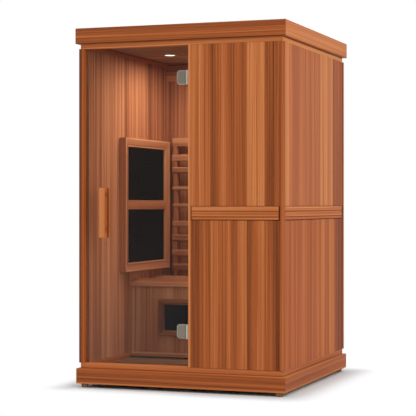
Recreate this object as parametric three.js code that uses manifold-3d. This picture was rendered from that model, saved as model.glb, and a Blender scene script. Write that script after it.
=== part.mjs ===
// Two-person infrared sauna cabin in cedar, millimetres, +Z up, front towards -Y.
// Four panel walls stand on a floor panel and carry a roof panel; a glass door hangs on the front panel.
import * as THREE from 'three';
import Module from 'manifold-3d';
import { mergeVertices } from 'three/addons/utils/BufferGeometryUtils.js';

const wasm = await Module();
wasm.setup();

// Overall sizes
const cabinWidth = 1200;
const cabinDepth = 1252;
const footHeight = 22;
const plinthHeight = 84;
const sillHeight = 30;
const wallHeight = 1724;
const headHeight = 27;
const capHeight = 85;
const capOverhang = 3;
const gap = 0.3;

// Heights above the ground
const plinthTop = footHeight + plinthHeight;
const wallBottom = plinthTop + sillHeight;
const wallTop = wallBottom + wallHeight;
const capBottom = wallTop + headHeight;
const capTop = capBottom + capHeight;
const floorTop = plinthTop + 1;

// Wall build-up, measured from the plinth's outer face inwards
const wallInset = 11;
const rimInset = 19;
const boardRecess = 4;
const boardThickness = 12;
const panelThickness = 45;
const wallX = cabinWidth / 2 - wallInset;
const wallY = cabinDepth / 2 - wallInset;
const boardX = wallX - boardRecess;
const boardY = wallY - boardRecess;
const coreX = boardX - boardThickness - gap;
const coreY = boardY - boardThickness - gap;
const innerX = wallX - panelThickness;
const innerY = wallY - panelThickness;
const groove = 2.5;

// Front: door on the left, boarded panel on the right
const leftPostWidth = 30;
const leftPostDepth = 34;
const rightPostWidth = 22;
const rightPostDepth = 24;
const jambLeft = 54;
const jambWidth = 13;
const panelLeft = jambLeft + jambWidth + gap;
const panelRight = wallX - rightPostWidth - gap;
const frontBoards = [44, 68, 66, 66, 72, 56, 43, 51];
const sideBoards = [84, 100, 100, 100, 101, 103, 104, 82, 99, 100, 110];
const innerBoard = 75;
const backBoard = 98;
const floorBoard = 95;
const ceilingBoard = 88;

// Mid rail round the outside
const railBottom = 925;
const railHeight = 70;
const railProud = 1;
const railGrooves = [14.5, 45];
const railRearGap = 37;

// Door
const glassThickness = 8;
const glassFront = -wallY + 25;
const glassBack = glassFront + glassThickness;
const glassLeft = -wallX + leftPostWidth + 3;
const glassRight = 47;
const glassClear = 5;
const hingeAxisX = 43;
const hingeAxisY = glassFront - 8;
const hingeHeight = 78;
const hingeCentres = { upper: 1687, lower: 324 };
const hingeBarrel = 7.5;
const hingePin = 4;
const knuckleShare = 0.25;
const clampLeft = -18;
const handleX = -447.5;
const handleWidth = 33;
const handleLength = 273;
const handleBottom = 823;
const handleOuterDepth = 38;
const handleInnerDepth = 24;
const handleBoltInset = 36;
const handleBolt = 4;

// Heaters
const heaterLength = 689;
const heaterHeight = 781;
const heaterCentreY = 177.5;
const heaterCentreZ = 1002.5;
const heaterDepth = 42.5;
const heaterMember = 52;
const heaterMidRail = 55;
const emitterDepth = 21;
const calfWidth = 724;
const calfHeight = 215;
const calfCentreZ = 345.5;
const calfStile = 37;
const calfRail = 32;
const calfDepth = 18;

// Bench and backrest share one wave: the seat dips between two crests, the back bulges twice
const benchFront = -20;
const benchBoardFront = -4;
const benchBoardThickness = 14;
const benchBoard = 45;
const seatUnder = 526;
const seatMean = 558;
const seatWave = 9;
const seatCrest = 99;
const seatPitch = 321;
const backrestHalfWidth = 480;
const backrestBottom = 560;
const backrestTop = 1419;
const backrestMean = 512;
const backrestWave = 10;
const backrestCrest = 1256;
const backrestPitch = 504;
const stileWidth = 28;
const slatThickness = 20;
const slatRows = [[1391, 54], [1293, 40], [1217.5, 37], [1104, 22], [998.5, 21], [883, 38], [797.5, 41],
  [705, 38], [617, 40]];

// Roof, lamps and controls
const fasciaThickness = 20;
const ceilingThickness = 20;
const coverThickness = 12;
const lampX = -325;
const lampYs = [76, 360];
const lampRadius = 46.5;
const lensRadius = 32.5;
const controlX = 325;
const controlZ = 1365;
const controlWidth = 150;
const controlHeight = 110;
const controlDepth = 16;
const buttonRadius = 8;
const buttonPitch = 40;

const cedar = paint(0xb2622f, 0.55, 0);
const cedarLight = paint(0xc67c47, 0.55, 0);
const cedarDark = paint(0x8d4b27, 0.6, 0);
const footBrown = paint(0x6b3b20, 0.7, 0);
const tintedGlass = new THREE.MeshStandardMaterial({
  color: 0x5a4a40, roughness: 0.06, metalness: 0, transparent: true, opacity: 0.35,
});
const emitterBlack = paint(0x1e1c1a, 0.7, 0);
const satinSteel = paint(0x8c877d, 0.35, 0.9);
const roofSheet = paint(0x9a7450, 0.8, 0);
const boxGrey = paint(0x55575a, 0.5, 0.3);
const lampRing = paint(0xb9b6b0, 0.35, 0.8);
const lampLens = new THREE.MeshStandardMaterial({
  color: 0xfff4de, emissive: 0xfff0d0, emissiveIntensity: 1, roughness: 0.4,
});
const panelBlack = paint(0x1b1c1e, 0.4, 0);
const displayGlass = paint(0x0c1013, 0.1, 0);
const buttonGrey = paint(0xa9abad, 0.45, 0);

const cabin = new THREE.Group();

function paint(color, roughness, metalness) {
  return new THREE.MeshStandardMaterial({ color, roughness, metalness });
}

function add(name, geometry, material) {
  const mesh = new THREE.Mesh(geometry, material);
  mesh.name = name;
  cabin.add(mesh);
  return mesh;
}

// Boolean work
function toSolid(geometry) {
  const bare = geometry.clone();
  bare.deleteAttribute('normal');
  bare.deleteAttribute('uv');
  const merged = mergeVertices(bare, 1e-4);
  return new wasm.Manifold(new wasm.Mesh({
    numProp: 3,
    vertProperties: new Float32Array(merged.attributes.position.array),
    triVerts: new Uint32Array(merged.index.array),
  }));
}

function toGeometry(solid) {
  const mesh = solid.getMesh();
  const geometry = new THREE.BufferGeometry();
  geometry.setAttribute('position', new THREE.BufferAttribute(mesh.vertProperties, 3));
  geometry.setIndex(new THREE.BufferAttribute(mesh.triVerts, 1));
  geometry.computeVertexNormals();
  return geometry;
}

function fuse(...geometries) {
  return toGeometry(geometries.map(toSolid).reduce((whole, piece) => whole.add(piece)));
}

function cut(geometry, ...tools) {
  return toGeometry(tools.map(toSolid).reduce((whole, tool) => whole.subtract(tool), toSolid(geometry)));
}

// Shapes
function outline(points) {
  return new THREE.Shape(points.map(([a, b]) => new THREE.Vector2(a, b)));
}

function rectangle(a0, b0, a1, b1) {
  return outline([[a0, b0], [a1, b0], [a1, b1], [a0, b1]]);
}

function roundedRectangle(a0, b0, a1, b1, radius) {
  const shape = new THREE.Shape();
  shape.absarc(a1 - radius, b0 + radius, radius, -Math.PI / 2, 0);
  shape.absarc(a1 - radius, b1 - radius, radius, 0, Math.PI / 2);
  shape.absarc(a0 + radius, b1 - radius, radius, Math.PI / 2, Math.PI);
  shape.absarc(a0 + radius, b0 + radius, radius, Math.PI, 1.5 * Math.PI);
  return shape;
}

function withWindows(shape, ...windows) {
  shape.holes.push(...windows);
  return shape;
}

function block(x0, y0, z0, x1, y1, z1) {
  const geometry = new THREE.BoxGeometry(x1 - x0, y1 - y0, z1 - z0);
  return geometry.translate((x0 + x1) / 2, (y0 + y1) / 2, (z0 + z1) / 2);
}

// Extrusions: drawn in plan and raised, drawn in Y and Z and run along X, drawn in X and Z and run along Y.
// An ease rounds both ends' edges without growing the outline.
function extruded(shape, length, ease, steps, curveSegments = 6) {
  return new THREE.ExtrudeGeometry(shape, {
    depth: length - 2 * ease,
    bevelEnabled: ease > 0,
    bevelThickness: ease,
    bevelSize: ease,
    bevelOffset: -ease,
    bevelSegments: steps,
    curveSegments,
  }).translate(0, 0, ease);
}

function raised(shape, z0, z1, ease = 0, steps = 1) {
  return extruded(shape, z1 - z0, ease, steps).translate(0, 0, z0);
}

function alongX(shape, x0, x1, ease = 0, steps = 1, curveSegments = 6) {
  const turn = new THREE.Matrix4().makeBasis(
    new THREE.Vector3(0, 1, 0), new THREE.Vector3(0, 0, 1), new THREE.Vector3(1, 0, 0));
  return extruded(shape, x1 - x0, ease, steps, curveSegments).applyMatrix4(turn).translate(x0, 0, 0);
}

function alongY(shape, y0, y1, ease = 0, steps = 1) {
  return extruded(shape, y1 - y0, ease, steps).rotateX(Math.PI / 2).translate(0, y1, 0);
}

function rod(radius, length, axis) {
  const geometry = new THREE.CylinderGeometry(radius, radius, length, 24);
  return axis === 'z' ? geometry.rotateX(Math.PI / 2) : geometry;
}

// Joints between boards: from a list of widths, or evenly spaced near a width
function jointsFromWidths(start, widths) {
  let place = start;
  return widths.map((width) => {
    place += width;
    return place;
  });
}

function evenJoints(start, end, width) {
  const count = Math.round((end - start) / width);
  return Array.from({ length: count - 1 }, (_, i) => start + (end - start) * (i + 1) / count);
}

// Cross-section of boards laid side by side, with a V at each joint of the shown face
function boardSection(start, end, joints, face, back) {
  const inward = Math.sign(back - face);
  const shown = joints.flatMap((joint) => [
    [joint - groove, face], [joint, face + inward * groove], [joint + groove, face],
  ]);
  return [[start, face], ...shown, [end, face], [end, back], [start, back]];
}

function swapped(points) {
  return points.map(([a, b]) => [b, a]);
}

// Base: mitred boards, feet and the floor panel on its joists
function mitredBoards(prefix, width, depth, thickness, z0, z1, ease) {
  const sides = [
    ['front', width, 0, 0, -depth / 2],
    ['right', depth, 1, width / 2, 0],
    ['back', width, 2, 0, depth / 2],
    ['left', depth, 3, -width / 2, 0],
  ];
  for (const [side, length, quarterTurns, x, y] of sides) {
    const half = length / 2 - gap;
    const plan = outline([[-half, 0], [half, 0], [half - thickness, thickness], [thickness - half, thickness]]);
    const board = add(`${prefix}_${side}`, raised(plan, z0, z1, ease), cedar);
    board.rotation.z = quarterTurns * Math.PI / 2;
    board.position.set(x, y, 0);
  }
}

function buildBase() {
  const footRadius = 21;
  const footInset = 41;
  for (const [end, signY] of [['front', -1], ['rear', 1]]) {
    for (const [side, signX] of [['left', -1], ['right', 1]]) {
      const foot = new THREE.CylinderGeometry(footRadius, footRadius - 4, footHeight - gap, 24);
      const mesh = add(`foot_${end}_${side}`, foot.rotateX(Math.PI / 2), footBrown);
      mesh.position.x = signX * (cabinWidth / 2 - footInset);
      mesh.position.y = signY * (cabinDepth / 2 - footInset + 13);
      mesh.position.z = (footHeight - gap) / 2;
    }
  }
  const plinthThickness = 20;
  mitredBoards('plinth', cabinWidth, cabinDepth, plinthThickness, footHeight, plinthTop, 3);

  const deckX = cabinWidth / 2 - plinthThickness - gap;
  const deckY = cabinDepth / 2 - plinthThickness - gap;
  const deckUnder = floorTop - 22;
  const floorJoints = evenJoints(-deckY, deckY, floorBoard);
  const deck = alongX(outline(boardSection(-deckY, deckY, floorJoints, floorTop, deckUnder)), -deckX, deckX);
  const joistWidth = 40;
  const joistPitch = (2 * deckX - joistWidth) / 6;
  const joists = Array.from({ length: 7 }, (_, i) => {
    const x = -deckX + i * joistPitch;
    return block(x, -deckY, footHeight, x + joistWidth, deckY, deckUnder + 1);
  });
  const rim = rimFrame(innerX - 6, -innerY + 8, innerY - 6);
  add('floor_panel', fuse(deck, ...joists, raised(rim, plinthTop + gap, wallBottom)), cedarDark);
}

// The inset strip that shows above the plinth and under the cap, and as a narrow ledge inside
function rimFrame(insideX, insideFront, insideBack) {
  const outsideX = cabinWidth / 2 - rimInset;
  const outsideY = cabinDepth / 2 - rimInset;
  const inside = rectangle(-insideX, insideFront, insideX, insideBack);
  return withWindows(rectangle(-outsideX, -outsideY, outsideX, outsideY), inside);
}

// Walls
const boardLow = wallBottom + gap;
const boardHigh = wallTop - gap;
const railTop = railBottom + railHeight;

function splitBoards(prefix, section) {
  add(`${prefix}_lower_boards`, raised(outline(section), boardLow, railBottom - gap), cedar);
  add(`${prefix}_upper_boards`, raised(outline(section), railTop + gap, boardHigh), cedar);
}

// Rail section: a plain bar with two V grooves along its face
function railSection(face, back) {
  const inward = Math.sign(back - face);
  const grooves = railGrooves.flatMap((height) => [
    [face, railBottom + height - 2], [face + inward * 3, railBottom + height], [face, railBottom + height + 2],
  ]);
  return outline([[face, railBottom], ...grooves, [face, railTop], [back, railTop], [back, railBottom]]);
}

function buildSideWall(side, sign, frontEnd) {
  const rearEnd = wallY - boardThickness - gap;
  const joints = jointsFromWidths(-wallY + rightPostDepth + gap, sideBoards);
  const section = swapped(boardSection(frontEnd, rearEnd, joints, sign * boardX, sign * (boardX - boardThickness)));
  splitBoards(side, section);
  const rail = railSection(sign * (wallX + railProud), sign * (boardX - boardThickness));
  add(`${side}_mid_rail`, alongY(rail, frontEnd, rearEnd - railRearGap), cedar);

  const coreFront = side === 'left' ? -wallY + leftPostDepth + gap : -wallY + rightPostDepth + gap;
  const coreRear = innerY - gap;
  const innerJoints = evenJoints(coreFront, coreRear, innerBoard);
  const core = raised(
    outline(swapped(boardSection(coreFront, coreRear, innerJoints, sign * innerX, sign * coreX))),
    boardLow, boardHigh);
  const bearer = sign > 0
    ? block(innerX - 25, 20, seatUnder - 40, innerX + 5, innerY - 10, seatUnder - gap)
    : block(-innerX - 5, 20, seatUnder - 40, -innerX + 25, innerY - 10, seatUnder - gap);
  add(`${side}_inner_wall`, fuse(core, bearer), cedarLight);
}

function buildBackWall() {
  const outerJoints = evenJoints(-wallX, wallX, backBoard);
  const outer = boardSection(-wallX, wallX, outerJoints, wallY, wallY - boardThickness);
  add('back_outer_boards', raised(outline(outer), boardLow, boardHigh), cedar);

  const innerJoints = evenJoints(-innerX, innerX, innerBoard);
  const inner = boardSection(-coreX, coreX, innerJoints, innerY, wallY - boardThickness - gap);
  const core = raised(outline(inner), boardLow, boardHigh);
  const upperTrim = block(-innerX + 1, innerY - 16, wallTop - 49, innerX - 1, innerY + 5, boardHigh);
  const lowerTrim = block(-innerX + 1, innerY - 8, wallTop - 84, innerX - 1, innerY + 5, wallTop - 48);
  add('back_inner_wall', fuse(core, upperTrim, lowerTrim), cedarLight);
}

function buildFrontPanel() {
  const joints = jointsFromWidths(panelLeft, frontBoards);
  splitBoards('front', boardSection(panelLeft, panelRight, joints, -boardY, -boardY + boardThickness));
  const rail = railSection(-wallY - railProud, -boardY + boardThickness);
  add('front_mid_rail', alongX(rail, panelLeft + 1, panelRight - 1), cedar);
  const innerJoints = evenJoints(panelLeft, innerX - gap, innerBoard);
  const inner = boardSection(panelLeft, innerX - gap, innerJoints, -innerY, -coreY);
  add('front_inner_wall', raised(outline(inner), boardLow, boardHigh), cedarLight);
  add('hinge_jamb', raised(rectangle(jambLeft, -wallY, jambLeft + jambWidth, -innerY), boardLow, boardHigh),
    cedarLight);

  const left = new THREE.Shape();
  left.moveTo(-wallX + leftPostWidth, -wallY);
  left.lineTo(-wallX + leftPostWidth, -wallY + leftPostDepth);
  left.lineTo(-wallX, -wallY + leftPostDepth);
  left.absarc(-wallX + 6, -wallY + 6, 6, Math.PI, 1.5 * Math.PI);
  add('front_left_post', raised(left, boardLow, boardHigh), cedarLight);

  const right = new THREE.Shape();
  right.moveTo(wallX, -wallY + rightPostDepth);
  right.lineTo(wallX - rightPostWidth, -wallY + rightPostDepth);
  right.lineTo(wallX - rightPostWidth, -wallY);
  right.absarc(wallX - 12, -wallY + 12, 12, -Math.PI / 2, 0);
  add('front_right_post', raised(right, boardLow, boardHigh), cedarLight);
}

// Roof panel with its rim, fascia, cover, lamps and power box
function buildRoof() {
  const capWidth = cabinWidth + 2 * capOverhang;
  const capDepth = cabinDepth + 2 * capOverhang;
  mitredBoards('fascia', capWidth, capDepth, fasciaThickness, capBottom, capTop, 2);

  const slabX = capWidth / 2 - fasciaThickness - gap;
  const slabY = capDepth / 2 - fasciaThickness - gap;
  const slabTop = capBottom + ceilingThickness;
  const joints = evenJoints(-slabY, slabY, ceilingBoard);
  const slab = alongX(outline(boardSection(-slabY, slabY, joints, capBottom, slabTop)), -slabX, slabX);
  const rim = rimFrame(innerX - 12, -innerY + 12, innerY - 20);
  add('ceiling_panel', fuse(slab, raised(rim, wallTop, capBottom + groove + 1)), cedar);
  const coverTop = slabTop + gap + coverThickness;
  add('roof_cover', block(-slabX, -slabY, slabTop + gap, slabX, slabY, coverTop), roofSheet);

  lampYs.forEach((lampY, i) => {
    const name = ['front', 'rear'][i];
    const ring = [[lensRadius + gap, 0], [lensRadius + gap, -3.5], [lensRadius + 4, -6],
      [lampRadius - 5, -6], [lampRadius - 0.5, -3], [lampRadius, 0], [lensRadius + gap, 0]];
    const lens = [[0, -4.5], [lensRadius * 0.6, -4], [lensRadius, -2], [lensRadius, 0], [0, 0]];
    for (const [part, profile, material] of [['bezel', ring, lampRing], ['lens', lens, lampLens]]) {
      const turned = new THREE.LatheGeometry(outline(profile).getPoints(), 32).rotateX(Math.PI / 2);
      const mesh = add(`${name}_lamp_${part}`, turned, material);
      mesh.position.set(lampX, lampY, capBottom - gap);
    }
  });

  const boxPlan = roundedRectangle(-150, 250, 150, 450, 8);
  const gland = rod(11, 24, 'y').translate(0, 461, coverTop + 20);
  add('power_box', fuse(raised(boxPlan, coverTop + gap, coverTop + 42, 3), gland), boxGrey);
}

// Door: pane with hinge notches and bolt holes, handles, hinges
function buildDoor() {
  const notchLeft = 26;
  const notchHalf = 30;
  const low = wallBottom + glassClear;
  const high = wallTop - glassClear;
  const rightEdge = [hingeCentres.lower, hingeCentres.upper].flatMap((z) => [
    [glassRight, z - notchHalf], [notchLeft, z - notchHalf], [notchLeft, z + notchHalf], [glassRight, z + notchHalf],
  ]);
  const pane = outline([[glassLeft, low], [glassRight, low], ...rightEdge, [glassRight, high], [glassLeft, high]]);
  const handleTop = handleBottom + handleLength;
  const boltZs = [handleBottom + handleBoltInset, handleTop - handleBoltInset];
  const boltHoles = boltZs.map((z) => {
    const hole = new THREE.Path();
    hole.absarc(handleX, z, handleBolt + 0.4, 0, 2 * Math.PI);
    return hole;
  });
  add('door_glass', alongY(withWindows(pane, ...boltHoles), glassFront, glassBack, 0.8), tintedGlass);

  const bolts = (y0, y1, radius) => boltZs.map((z) => rod(radius, y1 - y0, 'y').translate(handleX, (y0 + y1) / 2, z));
  const outerBack = glassFront - gap;
  const outerFront = outerBack - handleOuterDepth;
  const outer = raised(gripPlan(outerFront, outerBack), handleBottom, handleTop, 2);
  add('handle_outer', fuse(outer, ...bolts(outerBack - 5, glassBack + 10, handleBolt)), cedarLight);
  const innerFront = glassBack + gap;
  const innerBack = innerFront + handleInnerDepth;
  const inner = raised(gripPlan(innerBack, innerFront), handleBottom, handleTop, 2);
  add('handle_inner', cut(inner, ...bolts(innerFront - 5, glassBack + 12, handleBolt + 0.4)), cedarLight);

  for (const [name, z] of Object.entries(hingeCentres)) buildHinge(name, z, notchLeft, notchHalf);
}

// Grip section: a block with a finger cove along each flank
function gripPlan(face, seat) {
  const half = handleWidth / 2;
  const waist = half - 4;
  const middle = face + (seat - face) * 0.55;
  const shape = new THREE.Shape();
  shape.moveTo(handleX - half, face);
  shape.lineTo(handleX + half, face);
  shape.lineTo(handleX + half, face + (seat - face) * 0.3);
  shape.quadraticCurveTo(handleX + waist - 2, middle, handleX + half, face + (seat - face) * 0.8);
  shape.lineTo(handleX + half, seat);
  shape.lineTo(handleX - half, seat);
  shape.lineTo(handleX - half, face + (seat - face) * 0.8);
  shape.quadraticCurveTo(handleX - waist + 2, middle, handleX - half, face + (seat - face) * 0.3);
  return shape;
}

function buildHinge(name, z, notchLeft, notchHalf) {
  const half = hingeHeight / 2;
  const knuckle = hingeHeight * knuckleShare;
  const clampRight = 34;
  const chamfer = 11;
  const plate = outline([[clampLeft + chamfer, z - half], [clampRight, z - half], [clampRight, z + half],
    [clampLeft + chamfer, z + half], [clampLeft, z + half - chamfer], [clampLeft, z - half + chamfer]]);
  const front = alongY(plate, glassFront - 8, glassFront - gap, 1);
  const back = alongY(plate, glassBack + gap, glassBack + 7, 1);
  const web = block(notchLeft + 1, glassFront - 7, z - notchHalf + 1, clampRight, glassBack + 6, z + notchHalf - 1);
  const barrelHalf = half - knuckle - gap;
  const bridge = block(clampRight - 4, glassFront - 7, z - barrelHalf, hingeAxisX, glassFront - 3, z + barrelHalf);
  const turned = (radius, length, middle) => rod(radius, length, 'z').translate(hingeAxisX, hingeAxisY, middle);
  const bore = turned(hingePin + 0.05, hingeHeight + 4, z);
  const clamp = fuse(front, back, web, bridge, turned(hingeBarrel, 2 * barrelHalf, z));
  add(`${name}_hinge_clamp`, cut(clamp, bore), satinSteel);

  const leafPlate = block(jambLeft - gap - 2.7, -wallY + 4, z - half, jambLeft - gap, -innerY - 4, z + half);
  const knuckles = [-1, 1].flatMap((end) => {
    const middle = z + end * (half - knuckle / 2);
    const arm = block(hingeAxisX, hingeAxisY - 3, middle - knuckle / 2, jambLeft - 1, hingeAxisY + 3,
      middle + knuckle / 2);
    return [turned(hingeBarrel, knuckle, middle), arm];
  });
  add(`${name}_hinge_leaf`, cut(fuse(leafPlate, ...knuckles), bore), satinSteel);
  add(`${name}_hinge_pin`, turned(hingePin, hingeHeight, z), satinSteel);
}

// Heater frame: a deep surround that holds the emitter, a bolection face with two windows, a raised bead
function wallHeaterFrame() {
  const halfLength = heaterLength / 2;
  const halfHeight = heaterHeight / 2;
  const windowLength = halfLength - heaterMember;
  const windowHeight = halfHeight - heaterMember;
  const whole = (inset) => rectangle(inset - halfLength, inset - halfHeight, halfLength - inset, halfHeight - inset);
  const openings = (inset) => [-1, 1].map((end) => {
    const near = end * (heaterMidRail / 2 - inset);
    const far = end * (windowHeight + inset);
    return rectangle(-windowLength - inset, Math.min(near, far), windowLength + inset, Math.max(near, far));
  });
  const cavity = rectangle(-windowLength, -windowHeight, windowLength, windowHeight);
  const surround = alongX(withWindows(whole(0), cavity), 0, emitterDepth + 1);
  const face = alongX(withWindows(whole(0), ...openings(0)), emitterDepth, heaterDepth - 5, 5, 3);
  const bead = alongX(withWindows(whole(7), ...openings(9)), heaterDepth - 12, heaterDepth, 4, 3);
  return fuse(surround, face, bead);
}

function buildHeaters() {
  const emitterHalfLength = heaterLength / 2 - heaterMember - gap;
  const emitterHalfHeight = heaterHeight / 2 - heaterMember - gap;
  const emitter = block(gap, -emitterHalfLength, -emitterHalfHeight, emitterDepth - gap, emitterHalfLength,
    emitterHalfHeight);
  for (const [side, x, turn] of [['left', -innerX + gap, 0], ['right', innerX - gap, Math.PI]]) {
    const pieces = [
      add(`${side}_heater_frame`, wallHeaterFrame(), cedar),
      add(`${side}_heater_panel`, emitter.clone(), emitterBlack),
    ];
    for (const piece of pieces) {
      piece.rotation.z = turn;
      piece.position.set(x, heaterCentreY, heaterCentreZ);
    }
  }

  const halfWidth = calfWidth / 2;
  const low = calfCentreZ - calfHeight / 2;
  const high = calfCentreZ + calfHeight / 2;
  const window = rectangle(calfStile - halfWidth, low + calfRail, halfWidth - calfStile, high - calfRail);
  const frame = withWindows(rectangle(-halfWidth, low, halfWidth, high), window);
  const frameBack = benchBoardFront - gap;
  add('calf_heater_frame', alongY(frame, frameBack - calfDepth, frameBack, 3, 2), cedar);
  add('calf_heater_panel', block(calfStile - halfWidth + gap, frameBack - 8, low + calfRail + gap,
    halfWidth - calfStile - gap, frameBack, high - calfRail - gap), emitterBlack);
}

// Bench: boarded front on a skirting, and a seat whose top follows a cosine from crest to crest
function buildBench() {
  const halfWidth = innerX - 0.5;
  const boardsTop = seatUnder - gap;
  const benchBack = benchBoardFront + benchBoardThickness;
  const joints = evenJoints(-halfWidth, halfWidth, benchBoard);
  const boards = raised(outline(boardSection(-halfWidth, halfWidth, joints, benchBoardFront, benchBack)),
    wallBottom + 3, boardsTop);
  const skirting = block(-innerX + 7, benchBoardFront - 8, floorTop + gap, innerX - 7, benchBack, wallBottom + 4);
  add('bench_front', fuse(boards, skirting), cedar);

  const rear = innerY - 0.5;
  const nose = 7;
  const seatTop = (y) => seatMean + seatWave * Math.cos(2 * Math.PI * (y - seatCrest) / seatPitch);
  const steps = 28;
  const crest = Array.from({ length: steps + 1 }, (_, i) => {
    const y = rear + (benchFront + nose - rear) * i / steps;
    return [y, seatTop(y)];
  });
  const section = outline([[benchFront + 2, seatUnder], [rear, seatUnder], ...crest]);
  section.quadraticCurveTo(benchFront, seatTop(benchFront), benchFront, seatTop(benchFront) - nose);
  section.lineTo(benchFront, seatUnder + 2);
  add('bench_seat', alongX(section, -halfWidth, halfWidth), cedarLight);
}

// Backrest: slats let into three stiles whose fronts follow the same kind of wave
function buildBackrest() {
  const frontAt = (z) => backrestMean
    - backrestWave * Math.cos(2 * Math.PI * (z - backrestCrest) / backrestPitch);
  const rear = innerY - gap;
  const stileTop = backrestTop - 8;
  const steps = 16;
  const curve = Array.from({ length: steps + 1 }, (_, i) => {
    const z = stileTop + (backrestBottom - stileTop) * i / steps;
    return [frontAt(z) + 4, z];
  });
  const stile = outline([[rear, backrestBottom], [rear, stileTop], ...curve]);
  const stiles = [-backrestHalfWidth, -stileWidth / 2, backrestHalfWidth - stileWidth]
    .map((x) => alongX(stile, x, x + stileWidth));
  const slats = slatRows.map(([z, height]) => {
    const front = frontAt(z);
    const section = roundedRectangle(front, z - height / 2, front + slatThickness, z + height / 2, 6);
    return alongX(section, -backrestHalfWidth - 2, backrestHalfWidth + 2, 0, 1, 3);
  });
  add('backrest', fuse(...stiles, ...slats), cedarLight);
}

// Control panel on the inner face of the front panel, with buttons that press towards the wall
function buildControls() {
  const wall = -innerY + gap;
  const face = wall + controlDepth;
  const left = controlX - controlWidth / 2;
  const low = controlZ - controlHeight / 2;
  const body = alongY(roundedRectangle(left, low, left + controlWidth, low + controlHeight, 10), wall, face, 2, 2);
  const displayHalf = 44;
  const displayLow = controlZ - 6;
  const displayHigh = controlZ + 38;
  const pocket = block(controlX - displayHalf, face - 4, displayLow, controlX + displayHalf, face + 5, displayHigh);
  const buttonZ = controlZ - 29;
  const buttons = ['down', 'power', 'up'].map((name, i) => [name, controlX + (i - 1) * buttonPitch]);
  const wells = buttons.map(([, x]) => rod(buttonRadius + 0.4, 22, 'y').translate(x, face, buttonZ));
  add('control_panel', cut(body, pocket, ...wells), panelBlack);
  add('control_display', block(controlX - displayHalf + gap, face - 4 + gap, displayLow + gap,
    controlX + displayHalf - gap, face - 1, displayHigh - gap), displayGlass);
  for (const [name, x] of buttons) {
    add(`${name}_button`, rod(buttonRadius, 11, 'y').translate(x, face - 3, buttonZ), buttonGrey);
  }
}

buildBase();
buildSideWall('left', -1, -wallY + leftPostDepth + gap);
buildSideWall('right', 1, -wallY + rightPostDepth + gap);
buildBackWall();
buildFrontPanel();
buildRoof();
buildDoor();
buildHeaters();
buildBench();
buildBackrest();
buildControls();

export default cabin;
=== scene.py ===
import bpy
import numpy as np
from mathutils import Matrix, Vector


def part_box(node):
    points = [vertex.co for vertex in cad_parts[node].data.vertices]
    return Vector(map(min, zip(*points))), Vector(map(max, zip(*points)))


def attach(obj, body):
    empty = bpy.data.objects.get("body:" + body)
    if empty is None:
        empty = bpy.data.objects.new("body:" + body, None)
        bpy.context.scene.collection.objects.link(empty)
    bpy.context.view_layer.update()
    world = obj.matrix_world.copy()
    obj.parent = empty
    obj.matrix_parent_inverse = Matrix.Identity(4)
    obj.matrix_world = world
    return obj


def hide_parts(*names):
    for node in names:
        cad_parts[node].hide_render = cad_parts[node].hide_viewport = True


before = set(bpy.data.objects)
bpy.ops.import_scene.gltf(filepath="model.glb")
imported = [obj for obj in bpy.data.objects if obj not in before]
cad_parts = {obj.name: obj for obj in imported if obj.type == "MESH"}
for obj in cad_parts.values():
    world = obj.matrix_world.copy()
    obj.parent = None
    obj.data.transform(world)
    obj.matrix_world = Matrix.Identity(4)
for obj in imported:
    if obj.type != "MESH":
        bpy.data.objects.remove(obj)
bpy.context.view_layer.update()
scene = bpy.context.scene
rng = np.random.default_rng(41)
mm = 0.001
xAxis, yAxis, zAxis = worldAxes = np.eye(3)
print("frame loaded:", len(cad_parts), "solids")


# Camera at the photograph's angle
cameraSettings = {
    "place": (2.7544, -7.6655, 1.0121), "turn": 20.148, "lens": 122.28, "shiftY": -0.01144, "sensorWidth": 36.0,
}


def setCamera(settings):
    data = bpy.data.cameras.new("camera")
    data.sensor_width = settings["sensorWidth"]
    data.lens = settings["lens"]
    data.shift_y = settings["shiftY"]
    camera = bpy.data.objects.new("camera", data)
    camera.location = settings["place"]
    camera.rotation_euler = (np.pi / 2, 0, np.radians(settings["turn"]))
    scene.collection.objects.link(camera)
    scene.camera = camera


setCamera(cameraSettings)


# Shader maths: a socket that Python's operators work on
class Value:
    def __init__(self, finish, socket):
        self.finish = finish
        self.socket = socket

    def __getitem__(self, output):
        return Value(self.finish, self.socket.node.outputs[output])

    def calc(self, operation, other=None, swap=False):
        pair = [other, self] if swap else [self, other]
        sockets = {i: value for i, value in enumerate(pair) if value is not None}
        return self.finish.node("ShaderNodeMath", {"operation": operation}, sockets)

    def __add__(self, other):
        return self.calc("ADD", other)

    def __sub__(self, other):
        return self.calc("SUBTRACT", other)

    def __rsub__(self, other):
        return self.calc("SUBTRACT", other, swap=True)

    def __mul__(self, other):
        return self.calc("MULTIPLY", other)

    def __pow__(self, other):
        return self.calc("POWER", other)

    def __gt__(self, other):
        return self.calc("GREATER_THAN", other)

    __radd__ = __add__
    __rmul__ = __mul__

    def above(self, low, high):    # 0 at low, 1 at high, smooth between
        settings = {"interpolation_type": "SMOOTHSTEP"}
        return self.finish.node("ShaderNodeMapRange", settings, {0: self, 1: low, 2: high})


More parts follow.
